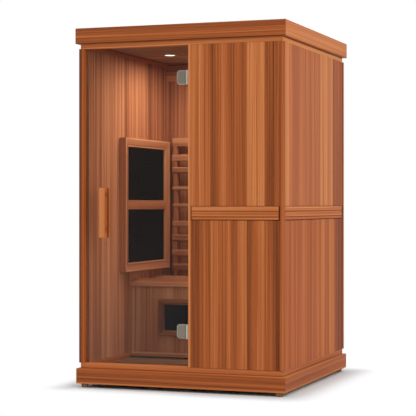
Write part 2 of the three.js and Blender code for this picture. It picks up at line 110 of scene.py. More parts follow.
class Finish:
    def __init__(self, name, owner=None):
        self.owner = owner or bpy.data.materials.new(name)
        self.owner.use_nodes = True
        self.tree = self.owner.node_tree
        self.tree.nodes.clear()

    def node(self, kind, settings=None, sockets=None, output=0):
        made = self.tree.nodes.new(kind)
        for key, value in (settings or {}).items():
            if key == "stops":
                self.setStops(made.color_ramp, value)
            else:
                setattr(made, key, value)
        for key, value in (sockets or {}).items():
            if isinstance(value, Value):
                self.tree.links.new(value.socket, made.inputs[key])
            else:
                made.inputs[key].default_value = value
        return Value(self, made.outputs[output] if made.outputs else None)

    def setStops(self, ramp, stops):
        while len(ramp.elements) < len(stops):
            ramp.elements.new(0.5)
        for element, (place, colour) in zip(ramp.elements, stops):
            element.position = place
            element.color = (*colour, 1)

    def noise(self, vector, detail=2.0, roughness=0.5):
        sockets = {"Vector": vector, "Scale": 1.0, "Detail": detail, "Roughness": roughness}
        return self.node("ShaderNodeTexNoise", {}, sockets)

    def place(self):    # Object coordinates
        return self.node("ShaderNodeTexCoord", {}, {}, 3)

    def vector(self, operation, first, second=None, output=0):
        sockets = {0: first} if second is None else {0: first, 1: second}
        return self.node("ShaderNodeVectorMath", {"operation": operation}, sockets, output)

    def distance(self, first, second):
        return self.vector("LENGTH", self.vector("SUBTRACT", first, second), None, 1)

    def stretched(self, scale):    # Object coordinates, scaled along each axis
        return self.vector("MULTIPLY", self.place(), scale)

    def mix(self, share, first, second):
        return self.node("ShaderNodeMix", {"data_type": "RGBA"}, {0: share, 6: first, 7: second}, 2)

    def bump(self, height, distance, strength=1.0):
        sockets = {"Strength": strength, "Distance": distance, "Height": height}
        return self.node("ShaderNodeBump", {}, sockets)

    def surface(self, sockets):
        shader = self.node("ShaderNodeBsdfPrincipled", {}, sockets)
        self.node("ShaderNodeOutputMaterial", {}, {"Surface": shader})
        return self.owner


# Cedar: the tone of each board, plus noise drawn out along the grain at four widths, picks a colour on a ramp
cedarStops = {
    "outside": [(0, (0.075, 0.018, 0.006)), (0.25, (0.200, 0.050, 0.014)), (0.5, (0.425, 0.110, 0.029)),
                (0.75, (0.615, 0.215, 0.070)), (1, (0.760, 0.370, 0.155))],
    # side and sideLow are lighter, redder copies of the outside cedar for the right side: painted light; sideLow, for
    # the lower right boards and rail, is redder still against the cool light bounced off the floor
    "side": [(0, (0.100, 0.020, 0.006)), (0.25, (0.255, 0.058, 0.015)), (0.5, (0.495, 0.134, 0.036)),
             (0.75, (0.680, 0.248, 0.077)), (1, (0.800, 0.400, 0.160))],
    "sideLow": [(0, (0.090, 0.017, 0.004)), (0.25, (0.230, 0.046, 0.009)), (0.5, (0.450, 0.106, 0.020)),
                (0.75, (0.620, 0.200, 0.048)), (1, (0.740, 0.330, 0.110))],
    "inside": [(0, (0.080, 0.025, 0.011)), (0.25, (0.225, 0.072, 0.028)), (0.5, (0.465, 0.164, 0.067)),
               (0.75, (0.665, 0.294, 0.132)), (1, (0.800, 0.450, 0.240))],
    "benchFront": [(0, (0.074, 0.025, 0.011)), (0.25, (0.208, 0.073, 0.030)), (0.5, (0.432, 0.167, 0.071)),
                   (0.75, (0.622, 0.298, 0.138)), (1, (0.755, 0.457, 0.250))],
    "ceiling": [(0, (0.062, 0.030, 0.015)), (0.25, (0.175, 0.092, 0.044)), (0.5, (0.355, 0.198, 0.100)),
                (1, (0.610, 0.400, 0.240))],
    # dark, for the floor boards and the feet: a dark brown whose green and blue are raised to stand in for the pane's
    # grey reflection over the floor, a painted reflection
    "dark": [(0, (0.040, 0.018, 0.010)), (0.3, (0.108, 0.050, 0.027)), (0.6, (0.222, 0.112, 0.060)),
             (1, (0.395, 0.212, 0.120))],
}
cedarLook = {"band": 0.70, "streak": 0.85, "line": 0.60, "fibre": 0.20, "ring": 0.10, "rough": 0.54}
cedarGrain = {    # waves to the metre across and along the grain, and detail
    "wander": (3.0, 0.8, 1.0), "band": (26, 0.22, 2.0), "streak": (95, 0.45, 3.0), "line": (330, 1.1, 2.0),
    "fibre": (1500, 16.0, 2.0), "fleck": (900, 30.0, 1.0),
}
wanderReach, ringCount, ringDrift, ringEdge = 0.016, 230, 9.0, 4.0
fleckShare, fleckColour = 0.35, (0.10, 0.030, 0.012, 1)
fullTurn = 6.2832


def cedar(name, stops, **changes):
    look = {**cedarLook, **changes}
    finish = Finish(name)
    place = finish.node("ShaderNodeSeparateXYZ", {}, {0: finish.node("ShaderNodeUVMap", {"uv_map": "grain"})})
    across, along = place[0], place[1]
    tone = finish.node("ShaderNodeAttribute", {"attribute_name": "tone"}, {}, 2)

    def grain(kind):
        acrossScale, alongScale, detail = cedarGrain[kind]
        vector = finish.node("ShaderNodeCombineXYZ", {}, {0: across * acrossScale, 1: along * alongScale})
        return finish.noise(vector, detail)

    across = across + (grain("wander") - 0.5) * wanderReach
    band, streak, line, fibre = [grain(kind) for kind in ("band", "streak", "line", "fibre")]
    ring = (((across * ringCount + band * ringDrift) * fullTurn).calc("SINE") * 0.5 + 0.5) ** ringEdge
    value = tone + (band - 0.5) * look["band"] + (streak - 0.5) * look["streak"]
    value = value + (line - 0.5) * look["line"] + (fibre - 0.5) * look["fibre"] - ring * streak * look["ring"]
    colour = finish.node("ShaderNodeValToRGB", {"stops": cedarStops[stops]}, {0: value})
    colour = finish.mix(grain("fleck").above(0.68, 0.78) * fleckShare, colour, fleckColour)
    height = line * 0.6 + fibre * 0.4 - ring * 0.5
    return finish.surface({
        "Base Color": colour,
        "Roughness": look["rough"] + (line - 0.5) * 0.3 + (fibre - 0.5) * 0.15,
        "Specular IOR Level": 0.08,
        "Normal": finish.bump(height, 0.0005, 0.35),
    })


# Brushed steel: noise drawn out along one axis
def brushedSteel(name, colour, scale, rough):
    finish = Finish(name)
    brush = finish.noise(finish.stretched(scale), 3.0)
    cloud = finish.noise(finish.stretched((30, 30, 30)), 2.0)
    pale = tuple(min(1, c * 1.25) for c in colour)
    return finish.surface({
        "Base Color": finish.mix(brush, (*colour, 1), (*pale, 1)),
        "Metallic": 0.85,
        "Roughness": rough + (brush - 0.5) * 0.25 + (cloud - 0.5) * 0.1,
        "Normal": finish.bump(brush, 0.00008, 0.4),
    })


# Moulded or powder-coated skin: fine pimples and a little cloudiness
def mouldedSkin(name, colour, rough, grainScale=900, depth=0.00006, coat=0.0):
    finish = Finish(name)
    pimple = finish.noise(finish.stretched((grainScale,) * 3), 1.0)
    cloud = finish.noise(finish.stretched((9, 9, 9)), 3.0)
    dark = tuple(c * 0.82 for c in colour)
    return finish.surface({
        "Base Color": finish.mix(cloud.above(0.3, 0.7), (*dark, 1), (*colour, 1)),
        "Roughness": rough + (pimple - 0.5) * 0.2 + (cloud - 0.5) * 0.15,
        "Coat Weight": coat,
        "Normal": finish.bump(pimple, depth, 0.6),
    })


# Emitter cloth: a fine plain weave, black, that shows as two crossed sine waves
def emitterCloth(name, threads=1900):
    finish = Finish(name)
    place = finish.node("ShaderNodeSeparateXYZ", {}, {0: finish.place()})
    warp = ((place[0] + place[1]) * threads).calc("SINE")
    weft = (place[2] * threads).calc("SINE")
    weave = warp * weft * 0.5 + 0.5
    cloud = finish.noise(finish.stretched((3, 3, 3)), 2.0)
    black, grey = (0.0012, 0.0012, 0.0012, 1), (0.0040, 0.0041, 0.0041, 1)
    return finish.surface({
        "Base Color": finish.mix(weave * 0.5 + cloud * 0.5, black, grey),
        "Roughness": 0.62 + (weave - 0.5) * 0.2,
        "Specular IOR Level": 0.05,
        "Normal": finish.bump(weave, 0.0001, 0.25),
    })


# Tinted pane: an even see-through share, faint smears in the tint and the gloss
def tintedPane(name):
    finish = Finish(name)
    smear = finish.noise(finish.stretched((5, 5, 1.6)), 4.0, 0.6)
    return finish.surface({
        "Base Color": finish.mix(smear, (0.003, 0.003, 0.003, 1), (0.006, 0.006, 0.006, 1)),
        "Roughness": 0.03 + smear * 0.04,
        "Specular IOR Level": 0.42,
        "Alpha": 0.17,
    })


# Roof sheet: rings of a peeled log, as a sine of two noises, with fine pores
def plywood(name):
    finish = Finish(name)
    wander = finish.noise(finish.stretched((0.9, 5.0, 1)), 2.0)
    figure = finish.noise(finish.stretched((1.2, 16, 1)), 3.0)
    pore = finish.noise(finish.stretched((25, 900, 20)), 2.0)
    ring = ((figure * 14 + wander * 6) * fullTurn).calc("SINE") * 0.5 + 0.5
    value = ring * 0.45 + wander * 0.35 + pore * 0.3
    stops = [(0.2, (0.23, 0.125, 0.055)), (0.55, (0.40, 0.235, 0.115)), (0.9, (0.55, 0.36, 0.20))]
    return finish.surface({
        "Base Color": finish.node("ShaderNodeValToRGB", {"stops": stops}, {0: value}),
        "Roughness": 0.62 + (pore - 0.5) * 0.3,
        "Normal": finish.bump(pore + ring * 0.3, 0.0004, 0.4),
    })


# Lamp lens: prism rings round the lamp's axis; a lit one glows
def lampLens(name, centre, glow, rings=1800):
    finish = Finish(name)
    prism = (finish.distance(finish.place(), centre) * rings).calc("SINE") * 0.5 + 0.5
    return finish.surface({
        "Base Color": finish.mix(prism, (0.50, 0.47, 0.42, 1), (0.66, 0.63, 0.58, 1)),
        "Roughness": 0.18 + prism * 0.15,
        "Emission Color": finish.mix(prism, (1.0, 0.90, 0.74, 1), (1.0, 0.95, 0.86, 1)),
        "Emission Strength": glow,
        "Normal": finish.bump(prism, 0.0005, 0.4),
    })


finishes = {
    "front": cedar("cedar front", "outside", band=0.42, streak=0.62, line=0.52),
    # side and sideLow: lit copies of the outside cedar for the right side, painted light
    "side": cedar("cedar side", "side", band=0.42, streak=0.66, line=0.52),
    "trim": cedar("cedar trim", "outside", band=0.40, streak=0.60),
    "sideLow": cedar("cedar side low", "sideLow", band=0.42, streak=0.66, line=0.52),
    "inside": cedar("cedar inside", "inside", band=0.85, streak=1.0),
    "ceiling": cedar("cedar ceiling", "ceiling", band=0.5, streak=0.5),
    "frame": cedar("cedar frame", "inside", band=0.20, streak=0.30, rough=0.44),
    "bench": cedar("cedar bench", "inside", band=0.34),
    "benchFront": cedar("cedar bench front", "benchFront", band=0.34),
    "floor": cedar("cedar floor", "dark"),
    "handle": cedar("cedar handle", "outside", band=0.22, streak=0.26, rough=0.36),
    "foot": cedar("foot wood", "dark", rough=0.6),
    "steel": brushedSteel("satin steel", (0.160, 0.134, 0.106), (900, 900, 25), 0.42),
    "edge": brushedSteel("polished edge", (0.240, 0.232, 0.208), (700, 700, 60), 0.34),
    "knuckle": brushedSteel("bright steel", (0.36, 0.33, 0.29), (700, 700, 60), 0.30),
    "ring": brushedSteel("lamp ring", (0.34, 0.33, 0.31), (300, 300, 300), 0.30),
    "screw": brushedSteel("screw steel", (0.48, 0.46, 0.43), (700, 700, 700), 0.28),
    "glass": tintedPane("tinted pane"),
    "emitter": emitterCloth("emitter cloth"),
    "sheet": plywood("roof sheet"),
    "box": mouldedSkin("box coat", (0.105, 0.11, 0.115), 0.48),
    "panel": mouldedSkin("panel black", (0.014, 0.014, 0.016), 0.36),
    "display": mouldedSkin("display black", (0.006, 0.008, 0.010), 0.08, 40, 0.00001, 0.5),
    "key": mouldedSkin("key grey", (0.36, 0.37, 0.38), 0.42),
    "mark": mouldedSkin("mark white", (0.62, 0.64, 0.64), 0.5),
}
print("finishes made:", len(finishes))


# Shapes, all in millimetres
def unit(vectors):
    return vectors / np.maximum(np.linalg.norm(vectors, axis=-1, keepdims=True), 1e-12)


# Soft polygon: each corner (a, b, radius) becomes a quadratic curve that leaves its two edges one radius
# away from the corner; a radius of 0 keeps the point
def softened(corners, steps=4):
    corners = np.asarray(corners, float)
    points, radius = corners[..., :2], corners[..., 2:]
    count = corners.shape[-2]
    soft = radius.reshape(-1, count)[0] > 0
    index = np.repeat(np.arange(count), np.where(soft, steps, 1))
    share = np.concatenate([np.linspace(0, 1, steps) if s else [0.5] for s in soft])[:, None]
    here, reach = points[..., index, :], radius[..., index, :]
    before = here + unit(points[..., index - 1, :] - here) * reach
    after = here + unit(points[..., (index + 1) % count, :] - here) * reach
    return (1 - share) ** 2 * before + 2 * share * (1 - share) * here + share ** 2 * after


# Straight bar: point = origin + a * across + b * depth + s * along, with s from start to end; an ease
# shrinks the last few millimetres of both ends towards the middle of the profile
def carried(profile, start, end, axes, origin=(0, 0, 0), ease=0):
    profile = np.asarray(profile, float).reshape(-1, *np.shape(profile)[-2:])
    start = np.broadcast_to(start, profile.shape[:2])[:, None]
    end = np.broadcast_to(end, profile.shape[:2])[:, None]
    if ease == 0:
        far, inset, shift = np.array([[0, 1], [0, 0], [0, 0]])
    else:
        far = np.array([0, 0, 0, 1, 1, 1])
        inset = np.array([1, 0.3, 0, 0, 0.3, 1]) * ease
        shift = np.array([0, 0.3, 1, -1, -0.3, 0]) * ease
    far, inset, shift = far[None, :, None], inset[None, :, None, None], shift[None, :, None]
    high, low = profile.max(1, keepdims=True)[:, None], profile.min(1, keepdims=True)[:, None]
    middle, half = (high + low) / 2, (high - low) / 2
    flat = middle + (profile[:, None] - middle) * (1 - inset / half)
    place = start * (1 - far) + end * far + shift
    flat = np.broadcast_to(flat, (*place.shape, 2))
    across, depth, along = np.asarray(axes, float)
    return np.asarray(origin, float) + flat[..., :1] * across + flat[..., 1:] * depth + place[..., None] * along


# Board section: low and high edge on the shown face, eased; marks are extra points along the face
def boardCorners(low, high, thickness, ease, marks=(0.25, 0.5, 0.75)):
    low, high = np.broadcast_arrays(np.atleast_1d(np.asarray(low, float)), np.asarray(high, float))
    place = np.stack([low, low, *[low + (high - low) * m for m in marks], high, high], -1)
    depth = np.array([thickness, 0, *[0] * len(marks), 0, thickness], float)
    radius = np.array([0, ease, *[0] * len(marks), ease, 0], float)
    return np.stack([place, *np.broadcast_arrays(depth, radius, place)[:2]], -1)


# Mitred frame: a is measured inwards from the outer edge and b off the wall; every bar starts and ends
# on the line from the outer corner to the inner one
def mitredFrame(centre, halfU, halfV, axes, section, stile, rail, joint=0.15):
    u, v, n = np.asarray(axes, float)
    centre = np.asarray(centre, float)
    railBar, stileBar = section(rail), section(stile)
    railCut = railBar[:, 0] * stile / rail + joint
    stileCut = stileBar[:, 0] * rail / stile + joint
    return np.concatenate([
        carried(railBar, railCut, 2 * halfU - railCut, (v, n, u), centre - halfU * u - halfV * v),
        carried(railBar, railCut, 2 * halfU - railCut, (-v, n, -u), centre + halfU * u + halfV * v),
        carried(stileBar, stileCut, 2 * halfV - stileCut, (-u, n, v), centre + halfU * u - halfV * v),
        carried(stileBar, stileCut, 2 * halfV - stileCut, (u, n, -v), centre - halfU * u + halfV * v),
    ])


# Stack of rounded rectangles: level (inset, height) by level, the outline shrinks by the inset
def stacked(centre, halfU, halfV, radius, levels, axes, steps=6):
    levels = np.asarray(levels, float)
    inset = levels[:, 0, None]
    signs = np.array([(-1, -1), (1, -1), (1, 1), (-1, 1)])
    corners = np.stack([signs[:, 0] * (halfU - inset), signs[:, 1] * (halfV - inset),
                        np.maximum(radius - inset, 0.3) * np.ones(4)], -1)
    outline = softened(corners, steps)
    u, v, n = np.asarray(axes, float)
    rings = np.asarray(centre, float) + outline[..., :1] * u + outline[..., 1:] * v
    return (rings + levels[:, 1, None, None] * n)[None]


# Turned piece: station k is a circle of radius r[k] at height h[k] on the axis; sockets are six-sided levels
def turned(centres, profile, axes, around=32, sockets=()):
    centres = np.atleast_2d(np.asarray(centres, float))[:, None, None]
    radius, height = np.asarray(profile, float).T
    angle = np.arange(around) * 2 * np.pi / around
    sixth = np.pi / 3
    hexagon = np.cos(sixth / 2) / np.cos((angle + sixth / 2) % sixth - sixth / 2)
    isSocket = np.isin(np.arange(len(radius)), sockets)[:, None]
    reach = radius[:, None] * np.where(isSocket, hexagon, 1)
    u, v, n = np.asarray(axes, float)
    circle = np.cos(angle)[:, None] * u + np.sin(angle)[:, None] * v
    return centres + reach[..., None] * circle + height[:, None, None] * n


# Ring: a closed (radius, height) section carried once round the axis
def ringRound(centre, section, axes, around=64):
    section = np.asarray(section, float)
    angle = np.arange(around) * 2 * np.pi / around
    u, v, n = np.asarray(axes, float)
    circle = np.cos(angle)[:, None] * u + np.sin(angle)[:, None] * v
    return (np.asarray(centre, float) + section[:, :1] * circle[:, None] + section[:, 1:] * n)[None]


# Mesh of bars: quads between one ring of points and the next, one face on each end. The grain map holds
# the way round the bar and the way along it in metres, moved by a random amount for each bar
def barMesh(name, rings, tone=0.5, loop=False, sharp=38):
    rings = np.array(rings, float) * mm
    bars, stations, points = rings.shape[:3]
    tone = np.broadcast_to(tone, (bars, stations, points)).astype(float)
    steps = stations if loop else stations - 1

    def volumes(shape):
        local = shape - shape.mean((1, 2), keepdims=True)
        near, side = local, np.roll(local, -1, 2)
        farSide, far = np.roll(side, -1, 1), np.roll(near, -1, 1)
        quads = (near * np.cross(side, farSide) + near * np.cross(farSide, far))[:, :steps].sum((1, 2, 3))
        ends = local[:, [0, -1]].mean(2, keepdims=True)
        caps = (ends * np.cross(near[:, [0, -1]], side[:, [0, -1]])).sum((2, 3))
        return quads + (0 if loop else caps[:, 1] - caps[:, 0])

    inward = volumes(rings) < 0
    rings[inward] = rings[inward][:, :, ::-1]
    tone = np.where(inward[:, None, None], tone[:, :, ::-1], tone)

    index = np.arange(bars * stations * points).reshape(bars, stations, points)
    nextPoint = np.roll(index, -1, 2)
    quads = np.stack([index, nextPoint, np.roll(nextPoint, -1, 1), np.roll(index, -1, 1)], -1)[:, :steps]
    faces = quads.reshape(-1, 4).tolist()
    if not loop:
        faces += index[:, 0, ::-1].tolist() + index[:, -1].tolist()

    middle = rings[:, stations // 2]
    edge = np.linalg.norm(np.roll(middle, -1, 1) - middle, axis=-1)
    acrossMap = np.concatenate([np.zeros((bars, 1)), np.cumsum(edge, 1)], 1) + rng.uniform(0, 30, (bars, 1))
    heading = unit(rings[:, -1].mean(1) - rings[:, 0].mean(1) + (1e-9 if not loop else 1))
    begin = ((rings[:, 0] - rings[:, 0].mean(1, keepdims=True)) * heading[:, None]).sum(-1)
    closed = np.concatenate([rings, rings[:, :1]], 1)
    length = np.cumsum(np.linalg.norm(np.diff(closed, axis=1), axis=-1), 1)
    alongMap = np.concatenate([np.zeros((bars, 1, points)), length], 1) + begin[:, None]
    alongMap = alongMap + rng.uniform(0, 9, (bars, 1, 1))
    u = np.broadcast_to(acrossMap[:, None], (bars, steps, points + 1))
    v = np.concatenate([alongMap, alongMap[..., :1]], -1)
    corner = [(u[..., :-1], v[:, :steps, :-1]), (u[..., 1:], v[:, :steps, 1:]),
              (u[..., 1:], v[:, 1:steps + 1, 1:]), (u[..., :-1], v[:, 1:steps + 1, :-1])]
    grainMap = [np.stack([np.stack(pair, -1) for pair in corner], 3).reshape(-1)]
    if not loop:
        for end, order in ((0, -1), (-1, 1)):
            ring = rings[:, end] - rings[:, end].mean(1, keepdims=True)
            across = unit(ring[:, points // 2] - ring[:, 0])[:, None]
            flat = np.stack([(ring * across).sum(-1), (ring * np.cross(heading[:, None], across)).sum(-1)], -1)
            grainMap.append((flat[:, ::order] + acrossMap[:, :1, None]).reshape(-1))

    mesh = bpy.data.meshes.new(name)
    mesh.from_pydata(rings.reshape(-1, 3).tolist(), [], faces)
    mesh.uv_layers.new(name="grain").data.foreach_set("uv", np.concatenate(grainMap).astype(np.float32))
    toneLayer = mesh.attributes.new("tone", "FLOAT", "POINT")
    toneLayer.data.foreach_set("value", tone.reshape(-1).astype(np.float32))
    mesh.polygons.foreach_set("use_smooth", np.ones(len(mesh.polygons), bool))
    mesh.set_sharp_from_angle(angle=np.radians(sharp))
    mesh.update()
    return mesh


def keep(name, rings, finish, slot, nodes=(), body="cabin", tone=0.5, loop=False, sharp=38):
    mesh = barMesh(name, rings, tone, loop, sharp)
    mesh.materials.append(finishes[finish])
    piece = bpy.data.objects.new(name, mesh)
    scene.collection.objects.link(piece)
    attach(piece, body)
    if nodes:
        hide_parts(*nodes)
    return piece


def dress(finish, *nodes):
    for node in nodes:
        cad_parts[node].material_slots[0].material = finishes[finish]


def toneBetween(profile, stops):    # tone at each point of a section, from (place, tone) stops
    places, tones = np.asarray(stops, float).T
    return np.interp(np.asarray(profile)[..., 0], places, tones)[..., None, :]


# Board tones: random left, middle and right tones for each board, within the limits
def boardTones(count, middle=0.5, spread=0.09, within=0.05, limits=(0.2, 0.8)):
    board = spread * rng.standard_normal((count, 1))
    return np.clip(middle + board + within * rng.standard_normal((count, 3)), *limits)


# Run of boards: edges between boards, left-middle-right tones for each, a darker line in the joints
def boardRun(edges, thickness, ease, tones, start, end, axes, origin, jointTone=-0.10):
    edges, tones = np.asarray(edges, float), np.asarray(tones, float)
    profile = softened(boardCorners(edges[:-1], edges[1:], thickness, ease))
    share = (profile[..., 0] - edges[:-1, None]) / (edges[1:] - edges[:-1])[:, None]
    left, middle, right = [tones[:, i, None] for i in range(3)]
    tone = np.where(share < 0.5, left + (middle - left) * share * 2, middle + (right - middle) * (share * 2 - 1))
    inJoint = profile[..., 1] > ease * 0.2
    tone = tone + np.where(inJoint, jointTone, 0)
    return carried(profile, start, end, axes, origin), tone[:, None]


def evenEdges(start, end, width):    # edges of boards that are about as wide as asked
    return np.linspace(start, end, round((end - start) / width) + 1)


# Domed screws with a six-sided socket in the head
screw = {"head": [(3.6, -0.4), (3.6, 0.25), (3.1, 0.75), (1.75, 0.9), (1.7, 0.15), (0.4, 0.1)], "socket": (3, 4, 5),
         "around": 18}


def keepScrews(name, places, axes, body="cabin"):
    rings = turned(places, screw["head"], axes, screw["around"], screw["socket"])
    keep(name, rings, "screw", "satin_steel", body=body)


heights = {"foot": 22, "plinth": 106, "floor": 107, "wall": 136, "railLow": 925, "railHigh": 995,
           "head": 1860, "cap": 1887, "top": 1972}
gap = 0.3
wallLow, wallHigh = heights["wall"] + gap, heights["head"] - gap


# Base: mitred plinth, floor rim, boards on joists, turned feet
base = {
    # the right plinth board is lifted more than the others: painted light
    "plinth": (600, 626), "thickness": 20, "ease": 3.5, "rightTone": 0.06, "otherTone": 0.02,
    "plinthTones": [(22, 0.62), (30, 0.60), (34, 0.45), (62, 0.42), (92, 0.49), (106, 0.56)],
    "plinthMarks": (0.10, 0.15, 0.3, 0.5, 0.7, 0.85),
    "rim": (581, 607), "rimThickness": 43, "rimEase": 1.5, "rimMarks": (0.3, 0.6),
    "rimTones": [(106, 0.50), (120, 0.58), (136, 0.60)],
    "deck": (579.7, 605.7), "deckBoard": 95, "deckThickness": 22, "deckEase": 1.8, "deckTone": 0.58,
    "joists": 7, "joistWidth": 40, "joistDepth": 62, "joistEase": 2.0,
    "foot": [(17, 0), (17.6, 0.9), (19.4, 9), (20.6, 15), (21, 18), (21, 21), (20.3, 21.7)],
    "footPlace": (559, 598), "footAround": 40, "footTone": 0.62,
}


def fourSides(halfX, halfY):    # across is up, depth is inwards, along is level
    return {
        "front": ((zAxis, yAxis, xAxis), (0, -halfY, 0), halfX),
        "right": ((zAxis, -xAxis, yAxis), (halfX, 0, 0), halfY),
        "back": ((zAxis, -yAxis, xAxis), (0, halfY, 0), halfX),
        "left": ((zAxis, xAxis, yAxis), (-halfX, 0, 0), halfY),
    }


def mitredBand(low, high, thickness, ease, marks, half, stops):    # one mitred board on each side
    profile = softened(boardCorners(low, high, thickness, ease, marks))[0]
    tone = toneBetween(profile, stops)
    for name, (axes, origin, reach) in fourSides(*half).items():
        cut = reach - profile[:, 1] - gap
        yield name, carried(profile, -cut, cut, axes, origin), tone


def buildBase(settings):
    band = mitredBand(heights["foot"], heights["plinth"], settings["thickness"], settings["ease"],
                      settings["plinthMarks"], settings["plinth"], settings["plinthTones"])
    for name, rings, tone in band:
        # the right side gets the larger lift: painted light
        tone = tone + settings["rightTone" if name == "right" else "otherTone"]
        keep(f"plinth_board_{name}", rings, "trim", "cedar_trim", [f"plinth_{name}"], tone=tone)
    band = mitredBand(heights["plinth"] + gap, heights["wall"], settings["rimThickness"], settings["rimEase"],
                      settings["rimMarks"], settings["rim"], settings["rimTones"])
    for name, rings, tone in band:
        keep(f"floor_rim_{name}", rings, "trim", "cedar_floor", ["floor_panel"], tone=tone)
    deckX, deckY = settings["deck"]
    edges = evenEdges(-deckY, deckY, settings["deckBoard"])
    rings, tone = boardRun(edges, settings["deckThickness"], settings["deckEase"],
                           boardTones(len(edges) - 1, settings["deckTone"]), -deckX, deckX,
                           (yAxis, -zAxis, xAxis), (0, 0, heights["floor"]))
    keep("floor_boards", rings, "floor", "cedar_floor", tone=tone)
    width = settings["joistWidth"]
    starts = np.linspace(-deckX, deckX - width, settings["joists"])
    profile = softened(boardCorners(starts, starts + width, settings["joistDepth"], settings["joistEase"]))
    joists = carried(profile, -deckY, deckY, (xAxis, zAxis, yAxis), (0, 0, heights["foot"]))
    keep("floor_joists", joists, "floor", "cedar_floor")
    footX, footY = settings["footPlace"]
    for end, signY in (("front", -1), ("rear", 1)):
        for hand, signX in (("left", -1), ("right", 1)):
            place = (signX * footX, signY * footY, 0)
            rings = turned(place, settings["foot"], worldAxes, settings["footAround"])
            keep(f"turned_foot_{end}_{hand}", rings, "foot", "foot_wood", [f"foot_{end}_{hand}"],
                 tone=settings["footTone"])


buildBase(base)
print("base built")


# Outer walls: boards, grooved mid rails and posts; tones run left, middle, right across each board
front = {
    "start": 67.3, "widths": [44, 68, 66, 66, 72, 56, 43, 51, 33.4], "face": 611,
    "upper": [(0.60, 0.56, 0.48), (0.64, 0.46, 0.48), (0.34, 0.42, 0.50), (0.52, 0.50, 0.36),
              (0.42, 0.47, 0.43), (0.66, 0.70, 0.62), (0.60, 0.68, 0.72), (0.40, 0.35, 0.31), (0.40, 0.43, 0.48)],
    "lower": [(0.42, 0.24, 0.27), (0.29, 0.50, 0.27), (0.62, 0.58, 0.38), (0.36, 0.52, 0.40),
              (0.34, 0.54, 0.64), (0.31, 0.40, 0.56), (0.50, 0.60, 0.66), (0.40, 0.46, 0.40), (0.34, 0.22, 0.32)],
}
side = {
    "start": -590.7, "widths": [84, 100, 100, 100, 101, 103, 104, 82, 99, 100, 110, 110.4], "face": 585,
    "leftStart": -580.7,
    "upper": [(0.62, 0.66, 0.58), (0.46, 0.50, 0.42), (0.38, 0.42, 0.46), (0.48, 0.52, 0.52), (0.50, 0.48, 0.42),
              (0.42, 0.47, 0.46), (0.50, 0.47, 0.42), (0.68, 0.71, 0.60), (0.68, 0.66, 0.52), (0.64, 0.69, 0.71),
              (0.33, 0.38, 0.36), (0.34, 0.38, 0.33)],
    "lower": [(0.52, 0.54, 0.42), (0.38, 0.44, 0.54), (0.45, 0.43, 0.44), (0.48, 0.52, 0.52), (0.54, 0.50, 0.44),
              (0.38, 0.44, 0.48), (0.50, 0.49, 0.44), (0.50, 0.64, 0.70), (0.58, 0.54, 0.50), (0.52, 0.62, 0.68),
              (0.62, 0.38, 0.28), (0.24, 0.26, 0.22)],
}
# the last back board's tone is lifted: painted light
back = {"half": 589, "board": 98, "face": 615, "lastTone": 0.72}
outer = {"ease": 1.4, "thickness": 12}
rail = {
    "thickness": 17, "frontFace": 616, "sideFace": 590, "underGap": 4, "overGap": 2.5, "endGap": 7, "rearGap": 45,
    "grooves": (14.5, 45), "grooveHalf": 2, "grooveDepth": 2.6, "grooveEase": 0.8, "lowEase": 2, "highEase": 2.5,
    # the slot strips are near black: painted shade in the gaps at the rails' ends
    "slotDepth": 5.5, "slotThickness": 10.5, "slotEase": 0.5, "slotTones": {"front": 0.0, "right": 0.12, "left": 0.12},
    # the grooves are painted near black and the lower edge darker, painted shade; the top edge is lighter, a painted
    # highlight
    "tones": [(925, 0.42), (930, 0.60), (936.9, 0.62), (939.5, 0.06), (942.1, 0.62), (967.4, 0.58), (970, 0.08),
              (972.6, 0.66), (990, 0.63), (995, 0.78)],
}
posts = {
    "front_left_post": {
        "corners": [(-559, -615, 1.5), (-559, -581, 1), (-589, -581, 1), (-589, -615, 6)],
        "tones": [(-589, 0.18), (-574, 0.22), (-566, 0.30), (-559, 0.50)]},
    "front_right_post": {
        "corners": [(589, -591, 1), (567, -591, 1), (567, -615, 1.5), (589, -615, 15)],
        "tones": [(567, 0.36), (573, 0.43), (580, 0.52), (589, 0.46)]},
    "hinge_jamb": {
        "corners": [(54, -615, 1.5), (67, -615, 1.5), (67, -570, 1), (54, -570, 1.5)],
        "tones": [(54, 0.78), (60, 0.84), (67, 0.72)]},
}
frontEdges = front["start"] + np.concatenate([[0], np.cumsum(front["widths"])])
sideEdges = side["start"] + np.concatenate([[0], np.cumsum(side["widths"])])
leftEdges = np.maximum(sideEdges, side["leftStart"])


def keepPlanks(name, edges, tones, low, high, axes, origin, finish, node):
    rings, tone = boardRun(edges, outer["thickness"], outer["ease"], tones, low, high, axes, origin)
    keep(name, rings, finish, "cedar_outside", [node], tone=tone)


def buildPlanks():
    levels = {"lower": (wallLow, heights["railLow"] - rail["underGap"]),
              "upper": (heights["railHigh"] + rail["overGap"], wallHigh)}
    for level, (low, high) in levels.items():
        keepPlanks(f"front_{level}_planks", frontEdges, front[level], low, high, (xAxis, yAxis, zAxis),
                   (0, -front["face"], 0), "front", f"front_{level}_boards")
        keepPlanks(f"right_{level}_planks", sideEdges, side[level], low, high, (yAxis, -xAxis, zAxis),
                   (side["face"], 0, 0), "sideLow" if level == "lower" else "side", f"right_{level}_boards")
        keepPlanks(f"left_{level}_planks", leftEdges, boardTones(len(leftEdges) - 1), low, high,
                   (yAxis, xAxis, zAxis), (-side["face"], 0, 0), "front", f"left_{level}_boards")
    edges = evenEdges(-back["half"], back["half"], back["board"])
    tones = boardTones(len(edges) - 1)
    # the last board, whose end shows past the right side, gets a lighter tone against its real shade: painted light
    tones[-1] = back["lastTone"]
    keepPlanks("back_outer_planks", edges, tones, wallLow, wallHigh, (xAxis, -yAxis, zAxis), (0, back["face"], 0),
               "front", "back_outer_boards")


